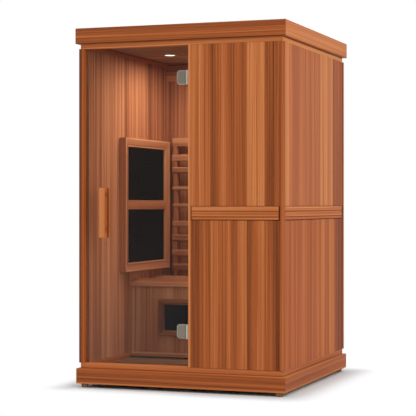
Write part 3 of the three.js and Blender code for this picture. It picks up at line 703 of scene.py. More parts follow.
# Rail section: a board with two eased V grooves in its face
def railProfile(settings):
    low, high, reach = heights["railLow"], heights["railHigh"], settings["grooveHalf"]
    grooves = [(low + place + move, depth, settings["grooveEase"]) for place in settings["grooves"]
               for move, depth in ((-reach, 0), (0, settings["grooveDepth"]), (reach, 0))]
    rear = settings["thickness"]
    return softened([(low, rear, 0), (low, 0, settings["lowEase"]), *grooves, (high, 0, settings["highEase"]),
                     (high, rear, 0)])


# Rails, and a near-black strip in the gap where a rail stops short of the next post or corner: painted shade
def buildRails(settings):
    profile = railProfile(settings)
    tone = toneBetween(profile, settings["tones"])
    endGap, face = settings["endGap"], settings["sideFace"]
    frontStart, frontEnd, rear = frontEdges[0], frontEdges[-1], sideEdges[-1]
    railEnd = rear - settings["rearGap"]
    bars = {
        "front": (frontStart + endGap, frontEnd - endGap, (zAxis, yAxis, xAxis), (0, -settings["frontFace"], 0)),
        "right": (sideEdges[0], railEnd, (zAxis, -xAxis, yAxis), (face, 0, 0)),
        "left": (leftEdges[0], railEnd, (zAxis, xAxis, yAxis), (-face, 0, 0)),
    }
    for name, (start, end, axes, origin) in bars.items():
        keep(f"{name}_rail_moulding", carried(profile, start, end, axes, origin),
             "sideLow" if name == "right" else "trim", "cedar_trim", [f"{name}_mid_rail"], tone=tone)
    low, high = heights["railLow"] - settings["underGap"] + gap, heights["railHigh"] + settings["overGap"] - gap
    slot = softened(boardCorners(low, high, settings["slotThickness"], settings["slotEase"]))
    spans = {
        "front": [(frontStart, frontStart + endGap), (frontEnd - endGap, frontEnd)],
        "right": [(railEnd, rear)],
        "left": [(railEnd, rear)],
    }
    for name, span in spans.items():
        axes, origin = bars[name][2:]
        starts, ends = np.array(span).T[..., None]
        rings = carried(np.repeat(slot, len(span), 0), starts + gap, ends - gap, axes,
                        origin + settings["slotDepth"] * axes[1])
        # near-black strips in the gaps: painted shade
        keep(f"{name}_rail_shade_strip", rings, "trim", "cedar_trim", tone=settings["slotTones"][name])


def buildPosts():    # each section is a soft polygon in x and y, carried upwards
    for node, post in posts.items():
        profile = softened(post["corners"], 6)
        rings = carried(profile, wallLow, wallHigh, worldAxes)
        keep(f"{node}_bar", rings, "trim", "cedar_trim", [node], tone=toneBetween(profile, post["tones"]))


buildPlanks()
buildRails(rail)
buildPosts()
print("outer walls built")


# Roof: mitred fascia, head rim, ceiling boards, screwed cover sheet
roof = {
    # right fascia: flatter, lighter tones, painted light
    "cap": (603, 629), "thickness": 20, "ease": 2.5, "rightScale": 0.8, "rightTone": 0.27, "otherTone": -0.02,
    # the lowest stops darken the fascia's lower edge: painted shade above the rim
    "tones": [(1887, 0.26), (1889, 0.40), (1891, 0.46), (1905, 0.54), (1915, 0.44), (1925, 0.53), (1936, 0.50),
              (1941, 0.40), (1955, 0.38), (1968, 0.42), (1972, 0.48)],
    "marks": (0.02, 0.05, 0.1, 0.2, 0.33, 0.45, 0.57, 0.62, 0.66, 0.8, 0.94),
    "rim": (581, 607), "rimThickness": 49, "rimRise": 3.4, "rimEase": 1.5,
    # the top stops darken the rim under the fascia: painted shade
    "rimTones": [(1860, 0.64), (1867, 0.60), (1870, 0.46), (1873, 0.66), (1881, 0.60), (1886, 0.54), (1890, 0.25)],
    "rimMarks": (0.2, 0.3, 0.42, 0.55, 0.7, 0.82, 0.9), "rimRightTone": 0.16, "rimDarkFrom": 1881.5,
    "slab": (582.7, 608.7), "board": 88, "boardThickness": 20, "boardEase": 1.6, "boardTone": 0.56,
    "boardSpread": 0.05,
    "cover": [(1.5, 1907.3), (0.4, 1907.8), (0, 1909), (0, 1917.8), (0.5, 1918.9), (1.6, 1919.3)],
    "coverCorner": 2.0, "coverScrews": 7, "screwReach": 0.94, "screwEdge": 0.95,
}


def coverScrewPlaces(settings):    # a row along each edge of the sheet
    halfX, halfY = settings["slab"]
    reach, edge, top = settings["screwReach"], settings["screwEdge"], settings["cover"][-1][1]
    spots = np.linspace(-reach, reach, settings["coverScrews"])
    rows = [(spot * halfX, end * edge * halfY, top) for end in (-1, 1) for spot in spots]
    columns = [(end * edge * halfX, spot * halfY, top) for end in (-1, 1) for spot in spots[1:-1]]
    return np.array(rows + columns)


def buildRoof(settings):
    finish = {"front": "trim", "right": "side", "back": "trim", "left": "trim"}
    band = mitredBand(heights["cap"], heights["top"], settings["thickness"], settings["ease"], settings["marks"],
                      settings["cap"], settings["tones"])
    for name, rings, tone in band:
        # the right fascia's tones are flattened and lifted: painted light on that side
        if name == "right":
            tone = tone * settings["rightScale"] + settings["rightTone"]
        else:
            tone = tone + settings["otherTone"]
        keep(f"fascia_board_{name}", rings, finish[name], "cedar_trim", [f"fascia_{name}"], tone=tone)
    band = mitredBand(heights["head"], heights["cap"] + settings["rimRise"], settings["rimThickness"],
                      settings["rimEase"], settings["rimMarks"], settings["rim"], settings["rimTones"])
    for name, rings, tone in band:
        # on the right the rim is lifted, painted light, and painted black along its top, a painted shadow under the
        # fascia
        if name == "right":
            tone = np.where(rings[..., 2] > settings["rimDarkFrom"], 0.0, tone + settings["rimRightTone"])
        keep(f"head_rim_{name}", rings, finish[name], "cedar_trim", ["ceiling_panel"], tone=tone)
    slabX, slabY = settings["slab"]
    edges = evenEdges(-slabY, slabY, settings["board"])
    tones = boardTones(len(edges) - 1, settings["boardTone"], settings["boardSpread"])
    rings, tone = boardRun(edges, settings["boardThickness"], settings["boardEase"], tones, -slabX, slabX,
                           (yAxis, zAxis, xAxis), (0, 0, heights["cap"]))
    keep("ceiling_boards", rings, "ceiling", "cedar_inside", tone=tone)
    rings = stacked((0, 0, 0), slabX, slabY, settings["coverCorner"], settings["cover"], worldAxes, 3)
    keep("roof_sheet", rings, "sheet", "roof_sheet", ["roof_cover"])
    keepScrews("roof_screws", coverScrewPlaces(settings), worldAxes)


buildRoof(roof)
print("roof built")


# Inner walls, the bearers under the seat and two trims high on the back wall
inner = {
    "x": 544, "y": 570, "ease": 1.2, "depth": 28.7, "backDepth": 32.7, "backHalf": 572.7, "board": 75,
    "tone": 0.52, "backTone": 0.5,
    # the first board, in the door frame's shadow, has a lifted tone: painted light
    "left": [(0.58, 0.50, 0.42), (0.36, 0.42, 0.40), (0.52, 0.60, 0.57), (0.59, 0.64, 0.61), (0.60, 0.62, 0.68),
             (0.57, 0.60, 0.54), (0.50, 0.48, 0.48), (0.46, 0.47, 0.54), (0.62, 0.58, 0.56), (0.56, 0.58, 0.54),
             (0.58, 0.54, 0.47), (0.44, 0.42, 0.40), (0.50, 0.46, 0.52), (0.44, 0.50, 0.46), (0.50, 0.48, 0.44)],
    # the first three back boards, seen between the slats, are darker: painted shade behind the backrest
    "backFirst": [(0.42, 0.37, 0.40), (0.38, 0.43, 0.58), (0.60, 0.56, 0.50)],
    "bearer": [(519, 486, 2), (549, 486, 2), (549, 525.7, 2), (519, 525.7, 2)],
    "bearerStart": 20, "bearerGap": 10, "bearerTone": 0.46,
    "trimLow": [(1776, 0, 0), (1776, -8, 1.5), (1812, -8, 1.5), (1812, 0, 0)],
    "trimHigh": [(1811, 0, 0), (1811, -16, 1.5), (1859.7, -16, 1.5), (1859.7, 0, 0)],
    "trimTones": {"trimLow": 0.68, "trimHigh": 0.34}, "trimGap": 1,
}


def keepLining(wall, edges, depth, tones, axes, origin):
    rings, tone = boardRun(edges, depth, inner["ease"], tones, wallLow, wallHigh, axes, origin)
    keep(f"{wall}_inner_planks", rings, "inside", "cedar_inside", [f"{wall}_inner_wall"], tone=tone)


def buildInnerWalls(settings):
    x, y, depth, board = (settings[key] for key in ("x", "y", "depth", "board"))
    bearer = softened(settings["bearer"])
    for name, sign, start in (("left", -1, side["leftStart"]), ("right", 1, side["start"])):
        edges = evenEdges(start, y - gap, board)
        tones = settings["left"] if name == "left" else boardTones(len(edges) - 1, settings["tone"])
        keepLining(name, edges, depth, tones, (yAxis, sign * xAxis, zAxis), (sign * x, 0, 0))
        rings = carried(bearer, settings["bearerStart"], y - settings["bearerGap"], (sign * xAxis, zAxis, yAxis))
        keep(f"{name}_seat_bearer", rings, "bench", "cedar_inside", tone=settings["bearerTone"])
    edges = evenEdges(-x, x, board)
    edges[[0, -1]] = -settings["backHalf"], settings["backHalf"]
    tones = boardTones(len(edges) - 1, settings["backTone"])
    # darker boards behind the backrest: painted shade
    tones[:3] = settings["backFirst"]
    keepLining("back", edges, settings["backDepth"], tones, worldAxes, (0, y, 0))
    reach = x - settings["trimGap"]
    for name, tone in settings["trimTones"].items():
        rings = carried(softened(settings[name]), -reach, reach, (zAxis, yAxis, xAxis), (0, y, 0))
        keep(f"back_{name}", rings, "inside", "cedar_inside", tone=tone)
    edges = evenEdges(front["start"], x - gap, board)
    keepLining("front", edges, depth, boardTones(len(edges) - 1, settings["tone"]), (xAxis, -yAxis, zAxis),
               (0, -y, 0))


buildInnerWalls(inner)
print("inner walls built")


# Heaters: a bolection moulding round each black emitter; side tones run round the frame
heater = {
    "y": 177.5, "z": 1002.5, "halfLength": 344.5, "halfHeight": 390.5, "member": 52, "midRail": 55, "wall": 543.7,
    # the stop at 42.5 paints the moulding's small V crease near black: painted shade
    "tones": [(0, 0.60), (1, 0.56), (2.2, 0.76), (6, 0.80), (10, 0.66), (39, 0.52), (42.5, 0.16), (44.5, 0.74),
              (52, 0.68)],
    "sideTones": (0, 0.06, 0, -0.02), "midRailTone": 0.50,
    "emitterHalf": (292.2, 338.2), "emitterCorner": 1.2,
    "emitter": [(0, 0.3), (0, 19.4), (0.6, 20.4), (4.5, 20.7), (5.3, 19.6), (40, 19.9), (120, 20.4)],
}
calf = {
    "z": 345.5, "half": (362, 107.5), "stile": 37, "rail": 32, "back": -4.3,
    # the side amounts lighten the two rails against the stiles: a painted highlight
    "tones": [(0, 0.24), (6, 0.28), (28, 0.22), (37, 0.36)], "sideTones": (0.14, 0.14, 0.03, 0.03),
    "emitterHalf": (324.7, 75.2), "emitterCorner": 1.0,
    "emitter": [(0, 0), (0, 7), (0.6, 7.7), (3.5, 8), (4.2, 7.2), (30, 7.5)],
}


def heaterSection(width):
    return softened([(4, 0, 0), (0, 9, 5), (0, 17, 1.5), (2, 19.5, 1), (0, 22, 1.5), (0, 30, 1), (1.5, 32, 1),
                     (0, 34, 1), (0, 41, 1.5), (2.5, 42.5, 1.5), (8, 42, 2), (40, 34, 3), (42.5, 32.4, 1),
                     (44, 35.3, 1.2), (width - 2, 35.3, 2), (width, 31, 2), (width, 0, 0)])


def midRailSection(width):
    half = width / 2
    return softened([(-half, 8, 0), (-half, 31, 2), (2 - half, 35.5, 2), (8 - half, 35.5, 1.2), (9.5 - half, 33.5, 1),
                     (12 - half, 35.8, 1), (half - 12, 35.8, 1), (half - 9.5, 33.5, 1), (half - 8, 35.5, 1.2),
                     (half - 2, 35.5, 2), (half, 31, 2), (half, 8, 0)])


def calfSection(width):
    return softened([(0, 0, 0), (0, 14, 3.5), (4, 18, 3), (width - 9, 18, 2), (width - 7, 16, 1),
                     (width - 5, 16.5, 1), (width, 12, 2), (width, 0, 0)])


def frameTones(section, settings):    # tones across the section, plus one amount for each side
    return toneBetween(section, settings["tones"])[None] + np.array(settings["sideTones"])[:, None, None]


def buildWallHeater(name, sign):
    axes = (-sign * yAxis, zAxis, -sign * xAxis)
    centre = (sign * heater["wall"], heater["y"], heater["z"])
    member = heater["member"]
    rings = mitredFrame(centre, heater["halfLength"], heater["halfHeight"], axes, heaterSection, member, member)
    keep(f"{name}_heater_moulding", rings, "frame", "cedar_frame", [f"{name}_heater_frame"],
         tone=frameTones(heaterSection(member), heater))
    reach = heater["halfLength"] - member
    rings = carried(midRailSection(heater["midRail"]), -reach, reach, (axes[1], axes[2], axes[0]), centre)
    keep(f"{name}_heater_mid_rail", rings, "frame", "cedar_frame", tone=heater["midRailTone"])
    rings = stacked(centre, *heater["emitterHalf"], heater["emitterCorner"], heater["emitter"], axes, 3)
    keep(f"{name}_emitter", rings, "emitter", "emitter_black", [f"{name}_heater_panel"])


def buildCalfHeater():
    axes = (xAxis, zAxis, -yAxis)
    centre = (0, calf["back"], calf["z"])
    rings = mitredFrame(centre, *calf["half"], axes, calfSection, calf["stile"], calf["rail"])
    keep("calf_heater_moulding", rings, "benchFront", "cedar_frame", ["calf_heater_frame"],
         tone=frameTones(calfSection(calf["stile"]), calf))
    rings = stacked(centre, *calf["emitterHalf"], calf["emitterCorner"], calf["emitter"], axes, 3)
    keep("calf_emitter", rings, "emitter", "emitter_black", ["calf_heater_panel"])


buildWallHeater("left", -1)
buildWallHeater("right", 1)
buildCalfHeater()
print("heaters built")


# Bench and backrest: the seat's top is mean + wave * cos(2 pi (y - crest) / pitch), the backrest's
# front is mean - wave * cos(2 pi (z - crest) / pitch)
bench = {
    "halfWidth": 543.5, "front": -20, "rear": 569.5, "under": 526, "nose": 3, "ease": 1.4,
    "mean": 558, "wave": 9, "crest": 99, "pitch": 321,
    # the seat's front face is lightened: a painted highlight
    "seatTones": [0.38, 0.44, 0.46, 0.54, 0.50, 0.48], "noseTone": 0.34,
    "boardFace": -4, "boardWidth": 45, "boardThickness": 14, "boardLow": 139, "boardHigh": 525.7,
    "boardTone": 0.70, "boardSpread": 0.05,
    "skirting": [(115, 10, 0), (115, -12, 1), (136, -12, 3), (140, -8, 2), (140, 10, 0)],
    "skirtingHalf": 537, "skirtingTone": 0.78,
}
backrest = {
    "mean": 512, "wave": 10, "crest": 1256, "pitch": 504, "rear": 569.7, "low": 560, "high": 1411, "steps": 48,
    "stiles": [-480, -14, 452], "stileWidth": 28, "stileBehind": 4, "stileEase": 2.0, "stileTone": 0.42,
    "halfWidth": 482, "thickness": 20, "slatRound": 5.0, "slatEnd": 2.0,
    "slats": [(1391, 54), (1293, 40), (1217.5, 37), (1104, 22), (998.5, 21), (883, 38), (797.5, 41), (705, 38),
              (617, 40)],
    "tones": [0.72, 0.60, 0.58, 0.62, 0.60, 0.60, 0.52, 0.56, 0.50],
    # slat tops lighter, a painted highlight; undersides darker, painted shade
    "edgeShare": 0.8, "topTone": 0.15, "underTone": -0.25,
}


def seatTop(y):
    return bench["mean"] + bench["wave"] * np.cos(2 * np.pi * (y - bench["crest"]) / bench["pitch"])


def backrestFront(z):
    return backrest["mean"] - backrest["wave"] * np.cos(2 * np.pi * (z - backrest["crest"]) / backrest["pitch"])


def buildBench():
    tones = np.array(bench["seatTones"])
    edges = np.linspace(bench["front"], bench["rear"], len(tones) + 1)
    share = np.array([0, 0, *np.linspace(0.1, 0.9, 9), 1, 1])
    place = edges[:-1, None] + (edges[1:] - edges[:-1])[:, None] * share
    height = seatTop(place)
    height[:, [0, -1]] = bench["under"]
    radius = np.zeros_like(place)
    radius[:, [0, 1, -2, -1]] = bench["ease"]
    radius[0, 1] = bench["nose"]
    profile = softened(np.stack([place, height, radius], -1))
    # points on the front face get the lighter tone: painted highlight
    nose = profile[..., 0] < bench["front"] + 1
    tone = tones[:, None, None] + bench["noseTone"] * nose[:, None]
    rings = carried(profile, -bench["halfWidth"], bench["halfWidth"], (yAxis, zAxis, xAxis))
    keep("seat_boards", rings, "bench", "cedar_bench", ["bench_seat"], tone=tone)

    edges = evenEdges(-bench["halfWidth"], bench["halfWidth"], bench["boardWidth"])
    tones = boardTones(len(edges) - 1, bench["boardTone"], bench["boardSpread"])
    rings, tone = boardRun(edges, bench["boardThickness"], bench["ease"], tones, bench["boardLow"],
                           bench["boardHigh"], worldAxes, (0, bench["boardFace"], 0))
    keep("bench_front_planks", rings, "benchFront", "cedar_bench", ["bench_front"], tone=tone)
    rings = carried(softened(bench["skirting"]), -bench["skirtingHalf"], bench["skirtingHalf"],
                    (zAxis, yAxis, xAxis))
    keep("bench_skirting", rings, "benchFront", "cedar_bench", tone=bench["skirtingTone"])


def buildBackrest():
    slats = np.array(backrest["slats"])
    middle, half = slats[:, :1], slats[:, 1:] / 2
    face = backrestFront(middle)
    y = face + np.array([0, backrest["thickness"], backrest["thickness"], 0])
    z = middle + half * np.array([-1, -1, 1, 1])
    profile = softened(np.stack([y, z, np.full_like(y, backrest["slatRound"])], -1), 5)
    # each slat's top edge is painted lighter, a painted highlight, and its underside darker, painted shade
    edge = half * backrest["edgeShare"]
    top, under = profile[..., 1] > middle + edge, profile[..., 1] < middle - edge
    tone = np.array(backrest["tones"])[:, None, None] + backrest["topTone"] * top[:, None]
    tone = tone + backrest["underTone"] * under[:, None]
    rings = carried(profile, -backrest["halfWidth"], backrest["halfWidth"], (yAxis, zAxis, xAxis),
                    ease=backrest["slatEnd"])
    keep("backrest_slats", rings, "bench", "cedar_bench", ["backrest"], tone=tone)

    z = np.linspace(backrest["low"], backrest["high"], backrest["steps"])
    left = np.array(backrest["stiles"], float)[:, None]
    near = backrestFront(z) + backrest["stileBehind"]
    left, right, near, rear = np.broadcast_arrays(left, left + backrest["stileWidth"], near, backrest["rear"])
    corners = np.stack([np.stack([left, right, right, left], -1), np.stack([near, near, rear, rear], -1),
                        np.full((*near.shape, 4), backrest["stileEase"])], -1)
    outline = softened(corners, 4)
    rings = np.concatenate([outline, np.broadcast_to(z[:, None, None], (*outline.shape[:-1], 1))], -1)
    keep("backrest_stiles", rings, "bench", "cedar_bench", tone=backrest["stileTone"])

    x = np.array(backrest["stiles"], float)[:, None] + backrest["stileWidth"] / 2
    places = np.stack(np.broadcast_arrays(x, face.T, middle.T), -1).reshape(-1, 3)
    keepScrews("backrest_screws", places, (xAxis, zAxis, -yAxis))


buildBench()
buildBackrest()
print("bench and backrest built")


# Door: tinted pane, grips with a finger cove, glass hinges
grip = {
    "x": -447.5, "half": 16.5, "low": 823, "high": 1096, "ease": 2.5, "faceRound": 2.2, "faceShare": 0.09,
    "outer": (-628.3, -590.3), "inner": (-557.7, -581.7),
    "run": [0, 0.4, 1.2, 2.5, 8, 14, 18, 22, 27, 33, 40, 55, 80, 110], "flankSteps": 15,
    # the cove's middle is painted darker: painted shade
    "cove": 3.0, "coveShare": (0.22, 0.68), "coveFade": (12, 30), "coveTone": 0.12,
    # across the section the face, and most of all its eased edge, is lighter than the flanks: a painted highlight
    "tones": [(0, 0.72), (0.08, 0.74), (0.12, 0.58), (0.6, 0.56), (1, 0.58)],
    # two near-black oval pads on the grip's flank near the pane, standing for shadow marks: painted shade
    "plugY": -596.3, "plugZ": (872, 1058), "plugHalf": (4.8, 13), "plugCorner": 4.0, "plugSunk": 0.7,
    "plug": [(0, -2.5), (0, 0.2), (0.5, 0.5)], "plugTone": -0.1,
}
hinge = {
    "z": {"upper": 1687, "lower": 324}, "axis": (43, -598), "left": -18, "right": 33, "half": 39, "cut": 11,
    "front": [(0, -590.3), (0, -594.8), (0.5, -595.5), (4.2, -597.4), (5, -597.4), (8, -597.4)], "padReach": 4,
    "pad": [(4.8, -596.9), (4.8, -597.8), (5.1, -598), (10, -598)],
    "back": [(0, -581.7), (0, -578), (0.5, -577.4), (4, -575.3), (5, -575)],
    "webHalf": 29, "web": [(15, -590.5, 0.5), (32, -590.5, 0.5), (32, -581.5, 0.5), (15, -581.5, 0.5)],
    "bridgeHalf": 19.2, "bridge": [(30, -597, 0.8), (37.8, -597, 0.8), (37.8, -593, 0.8), (30, -593, 0.8)],
    "barrel": [(4.6, -19.2, 0.3), (7.5, -19.2, 0.8), (7.5, 19.2, 0.8), (4.6, 19.2, 0.3)], "barrelAround": 40,
    "screwPlace": (-4, -575), "screwHalf": 24,
}


# Grip: the section's flanks move inwards by cove * sin^2 of the way from face to seat, and the cove
# fades in and out near both ends of the grip
def gripRings(face, seat):
    steps, ease = grip["flankSteps"], grip["ease"]
    share = np.concatenate([np.linspace(0, 1, steps), np.linspace(1, 0, steps)])
    flank = np.repeat([1, -1], steps)
    run = np.array(grip["run"])
    z = np.concatenate([grip["low"] + run, grip["high"] - run[::-1]])
    fromEnd = np.minimum(z - grip["low"], grip["high"] - z)
    fadeFrom, fadeTo = grip["coveFade"]
    fade = np.clip((fromEnd - fadeFrom) / (fadeTo - fadeFrom), 0, 1)
    fade = (fade * fade * (3 - 2 * fade))[:, None]
    inset = np.maximum(0, ease - fromEnd)
    inset = (ease - np.sqrt(np.maximum(0, ease ** 2 - inset ** 2)))[:, None]
    coveFrom, coveSpan = grip["coveShare"]
    bowed = np.clip((share - coveFrom) / coveSpan, 0, 1)
    cove = grip["cove"] * np.sin(np.pi * bowed) ** 2
    nearFace = np.clip(1 - share / grip["faceShare"], 0, 1)
    rounding = grip["faceRound"] * (1 - np.sqrt(1 - nearFace ** 2))
    x = grip["x"] + flank * (grip["half"] - fade * cove - rounding - inset)
    middle = (face + seat) / 2
    y = middle + (face + (seat - face) * share - middle) * (1 - inset / abs(seat - face) * 2)
    rings = np.stack(np.broadcast_arrays(x, y, z[:, None]), -1)[None]
    # darker in the middle of the finger cove: painted shade
    tone = np.interp(share, *np.array(grip["tones"]).T) - grip["coveTone"] * fade * (bowed * (1 - bowed) * 4)
    return rings, tone[None]


# Inset outline: every edge of a convex outline moves inwards by the same amount, and the corners follow
def insetOutline(corners, inset):
    corners = np.asarray(corners, float)
    ahead = unit(np.roll(corners, -1, 0) - corners)
    behind = np.roll(ahead, 1, 0)
    turn = behind[:, 0] * ahead[:, 1] - behind[:, 1] * ahead[:, 0]
    return corners + (ahead - behind) * inset / turn[:, None]


# Clamp plate: a stack of inset outlines, level (inset, y) by level, moved up to the hinge's height
def plateRings(outline, levels, z):
    rings = [np.insert(insetOutline(outline, inset), 1, y, axis=1) for inset, y in levels]
    return np.stack(rings)[None] + (0, 0, z)


def buildHinge(name, z):
    left, right, half, cut = (hinge[key] for key in ("left", "right", "half", "cut"))
    outline = np.array([(left + cut, -half), (right, -half), (right, half), (left + cut, half), (left, half - cut),
                        (left, cut - half)])
    faces = {"front": ("edge", [f"{name}_hinge_clamp"]), "pad": ("steel", []), "back": ("steel", [])}
    for face, (finish, nodes) in faces.items():
        reach = np.where(outline[:, :1] == right, hinge["padReach"], 0) * (1, 0) if face == "pad" else 0
        keep(f"{name}_clamp_{face}", plateRings(outline + reach, hinge[face], z), finish, "satin_steel", nodes,
             "door", sharp=20)
    for part in ("web", "bridge"):
        reach = hinge[f"{part}Half"]
        rings = carried(softened(hinge[part]), z - reach, z + reach, worldAxes)
        keep(f"{name}_clamp_{part}", rings, "steel", "satin_steel", body="door")
    rings = ringRound((*hinge["axis"], z), softened(hinge["barrel"]), worldAxes, hinge["barrelAround"])
    keep(f"{name}_clamp_barrel", rings, "knuckle", "satin_steel", body="door", loop=True)
    dress("knuckle", f"{name}_hinge_leaf", f"{name}_hinge_pin")
    places = [(*hinge["screwPlace"], z + move) for move in (-hinge["screwHalf"], hinge["screwHalf"])]
    keepScrews(f"{name}_clamp_screws", places, (xAxis, -zAxis, yAxis), "door")


def buildDoor():
    for name in ("outer", "inner"):
        rings, tone = gripRings(*grip[name])
        keep(f"{name}_grip", rings, "handle", "cedar_handle", [f"handle_{name}"], "door", tone=tone, sharp=50)
    # near-black pads on the flank: painted shade
    x = grip["x"] + grip["half"] - grip["plugSunk"]
    shadePads = [stacked((x, grip["plugY"], z), *grip["plugHalf"], grip["plugCorner"], grip["plug"],
                     (yAxis, zAxis, xAxis), 5) for z in grip["plugZ"]]
    keep("outer_grip_shade_pads", np.concatenate(shadePads), "trim", "cedar_handle", body="door", tone=grip["plugTone"])
    dress("glass", "door_glass")
    for name, z in hinge["z"].items():
        buildHinge(name, z)


buildDoor()
print("door built")


# Lamps, power box and controls
lamp = {
    "x": -325, "y": {"front": 76, "rear": 360}, "z": 1886.7,
    "slot": {"front": "lamp_lit", "rear": "lamp_unlit"}, "glow": {"front": 5.0, "rear": 0.0},
    "bezel": [(32.8, 0, 0), (46.5, 0, 0), (46.3, 2.4, 1), (44, 4.6, 1.5), (39, 6, 2), (35, 5.6, 1), (32.8, 3.2, 1)],
    "lens": [(32.5, 0), (32.5, 2), (30, 2.6), (26, 2.9), (22, 3.6), (18, 3.7), (14, 4.1), (9, 4.2), (4, 4.5),
             (0.6, 4.5)],
    "lensAround": 64,
}
powerBox = {
    "centre": (0, 350, 0), "half": (150, 100), "corner": 9,
    "levels": [(0.8, 1919.6), (0, 1920.4), (0, 1922.8), (0.7, 1923.4), (5, 1923.6), (5.4, 1924.4), (5.4, 1951),
               (4.2, 1951.6), (3.4, 1952.4), (3.4, 1957.5), (4.4, 1959.8), (7, 1961.2), (10, 1961.3)],
    "screws": [(-138, 262), (138, 262), (-138, 438), (138, 438)],
    "gland": [(11, 0), (11, 8), (10.4, 8.6), (9.6, 8.8), (9.6, 10), (10.6, 10.4), (10.6, 18), (9.8, 20.5), (7.4, 22.6),
              (6.2, 23.6), (6, 19), (5, 18)],
    "glandPlace": (0, 449, 1939.3), "glandAround": 48,
}
controls = {
    "x": {"down": 285, "power": 325, "up": 365}, "z": 1336, "markLevels": (-0.15, 0.12),
    "arrow": [(-3.2, -1.6), (0, 2.2), (3.2, -1.6), (2.4, -2.4), (0, 0.2), (-2.4, -2.4)],
    "stem": [(-0.45, 1.2), (0.45, 1.2), (0.45, 4.4), (-0.45, 4.4)],
    "arcAngles": (125, 415), "arcSteps": 28, "arcOuter": 3.6, "arcInner": 2.7,
}


def buildLamps(settings):
    down = (xAxis, yAxis, -zAxis)
    for name, y in settings["y"].items():
        centre = (settings["x"], y, settings["z"])
        finishes[f"{name}Lens"] = lampLens(f"{name} lens", np.array(centre) * mm, settings["glow"][name])
        keep(f"{name}_lamp_trim", ringRound(centre, softened(settings["bezel"]), down), "ring", "lamp_ring",
             [f"{name}_lamp_bezel"], loop=True)
        keep(f"{name}_lamp_glass", turned(centre, settings["lens"], down, settings["lensAround"]), f"{name}Lens",
             settings["slot"][name], [f"{name}_lamp_lens"])


def buildPowerBox(settings):
    rings = stacked(settings["centre"], *settings["half"], settings["corner"], settings["levels"], worldAxes)
    keep("power_box_case", rings, "box", "box_grey", ["power_box"])
    lid = settings["levels"][-1][1]
    keepScrews("power_box_screws", [(*place, lid) for place in settings["screws"]], worldAxes)
    rings = turned(settings["glandPlace"], settings["gland"], (xAxis, zAxis, yAxis), settings["glandAround"])
    keep("cable_gland", rings, "box", "box_grey")


def keepMark(name, key, outline, face):    # a flat mark just proud of the button's face
    outline = np.asarray(outline) + (controls["x"][key], controls["z"])
    rings = [np.insert(outline, 1, face + level, axis=1) for level in controls["markLevels"]]
    keep(name, [rings], "mark", "button_grey", body=f"{key}_key")


def buildControls(settings):
    dress("panel", "control_panel")
    dress("display", "control_display")
    dress("key", "down_button", "power_button", "up_button")
    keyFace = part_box("up_button")[1][1] / mm
    arrow = np.array(settings["arrow"])
    angle = np.radians(np.linspace(*settings["arcAngles"], settings["arcSteps"]))
    ring = np.stack([np.cos(angle), np.sin(angle)], -1)
    arc = np.concatenate([ring * settings["arcOuter"], ring[::-1] * settings["arcInner"]])
    keepMark("down_arrow", "down", arrow * (1, -1), keyFace)
    keepMark("power_arc", "power", arc, keyFace)
    keepMark("power_stem", "power", settings["stem"], keyFace)
    keepMark("up_arrow", "up", arrow, keyFace)


buildLamps(lamp)
buildPowerBox(powerBox)
buildControls(controls)
print("fittings built")


# Stage and light: a pale floor that fades to white away from the cabin
stage = {
    "floorHalf": 9.0, "footprint": (0.6, 0.626, 0), "fadeFrom": 0.0, "fadeTo": 0.20,
    "floorColour": (0.87, 0.92, 0.94, 1), "white": (1, 1, 1, 1), "sky": 0.62,
}
lights = {    # gloss: the light shows in glossy surfaces; only: it shows there and lights nothing else
    "key": {"kind": "AREA", "place": (5.2, -4.3, 3.6), "aim": (0.3, -0.3, 0.9), "size": 3.2, "power": 175,
            "colour": (1, 0.985, 0.965), "gloss": True},
    "fill": {"kind": "AREA", "place": (-4.2, -3.4, 3.0), "aim": (-0.2, -0.3, 0.9), "size": 3.0, "power": 30,
             "colour": (1, 1, 1), "gloss": True},
    "lamp": {"kind": "SPOT", "place": (-0.325, 0.076, 1.876), "aim": (-0.325, 0.076, 0), "size": 0.03, "power": 0.6,
             "colour": (1, 0.90, 0.76), "gloss": False, "cone": 150, "blend": 0.8},
    "glow": {"kind": "AREA", "place": (-0.06, 0.06, 1.84), "aim": (-0.10, 0.04, 0), "size": 0.5, "power": 10.5,
             "colour": (1, 0.95, 0.89), "gloss": False},
    "softbox": {"kind": "AREA", "place": (-0.95, -1.55, 0.12), "aim": (-0.53, -0.62, 0.22), "size": 1.9, "power": 12,
                "colour": (1, 1, 1), "gloss": "only"},
    "inside": {"kind": "AREA", "place": (0.30, -0.30, 0.78), "aim": (-0.42, 0.0, 0.25), "size": 0.40, "power": 1.9,
               "colour": (1, 0.98, 0.95), "gloss": False},
}


def seenMask(finish):    # camera, glossy and transmission rays
    path = finish.node("ShaderNodeLightPath")
    return (path["Is Camera Ray"] + path["Is Glossy Ray"] + path["Is Transmission Ray"]) > 0.5


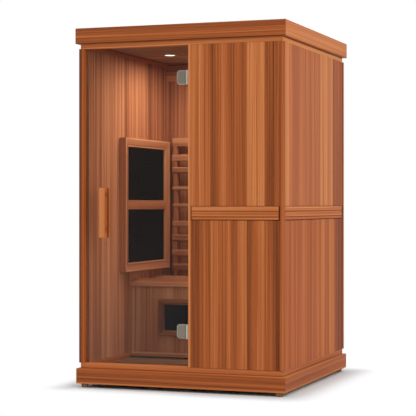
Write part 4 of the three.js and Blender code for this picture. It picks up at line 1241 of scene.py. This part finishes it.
def buildStage(settings):
    half = settings["floorHalf"]
    mesh = bpy.data.meshes.new("floor")
    mesh.from_pydata([(-half, -half, 0), (half, -half, 0), (half, half, 0), (-half, half, 0)], [], [(0, 1, 2, 3)])
    floor = bpy.data.objects.new("floor", mesh)
    scene.collection.objects.link(floor)
    finish = Finish("pale floor")
    past = finish.vector("SUBTRACT", finish.vector("ABSOLUTE", finish.place()), settings["footprint"])
    past = finish.vector("LENGTH", finish.vector("MAXIMUM", past, (0, 0, 0)), None, 1)
    far = past.above(settings["fadeFrom"], settings["fadeTo"])
    plain = finish.node("ShaderNodeBsdfDiffuse", {}, {"Color": settings["floorColour"]})
    white = finish.node("ShaderNodeEmission", {}, {"Color": settings["white"], "Strength": 1.0})
    mixed = finish.node("ShaderNodeMixShader", {}, {0: far * seenMask(finish), 1: plain, 2: white})
    finish.node("ShaderNodeOutputMaterial", {}, {"Surface": mixed})
    mesh.materials.append(finish.owner)

    world = bpy.data.worlds.new("studio")
    scene.world = world
    sky = Finish("studio", world)
    strength = settings["sky"] + seenMask(sky) * (1 - settings["sky"])
    light = sky.node("ShaderNodeBackground", {}, {"Color": settings["white"], "Strength": strength})
    sky.node("ShaderNodeOutputWorld", {}, {"Surface": light})


def fadedCard(data):    # brightest in the middle, nothing at the edges
    card = Finish("softbox", data)
    radius = card.distance(card.node("ShaderNodeNewGeometry")["Parametric"], (0.5, 0.5, 0))
    light = card.node("ShaderNodeEmission", {}, {"Strength": 1 - radius.above(0, 0.5)})
    card.node("ShaderNodeOutputLight", {}, {"Surface": light})


def addLights(settings):
    for name, light in settings.items():
        data = bpy.data.lights.new(name, light["kind"])
        data.energy = light["power"]
        data.color = light["colour"]
        if light["kind"] == "AREA":
            data.size = light["size"]
        else:
            data.shadow_soft_size = light["size"]
            data.spot_size = np.radians(light["cone"])
            data.spot_blend = light["blend"]
        lampObject = bpy.data.objects.new(name, data)
        lampObject.location = light["place"]
        aim = np.array(light["aim"]) - np.array(light["place"])
        level = np.hypot(aim[0], aim[1])
        turn = np.arctan2(-aim[0], aim[1]) if level > 0 else 0
        lampObject.rotation_euler = (np.arctan2(level, -aim[2]), 0, turn)
        lampObject.visible_camera = False
        lampObject.visible_glossy = bool(light["gloss"])
        if light["gloss"] == "only":
            lampObject.visible_diffuse = False
            fadedCard(data)
        scene.collection.objects.link(lampObject)


buildStage(stage)
addLights(lights)
scene.view_settings.view_transform = "Standard"
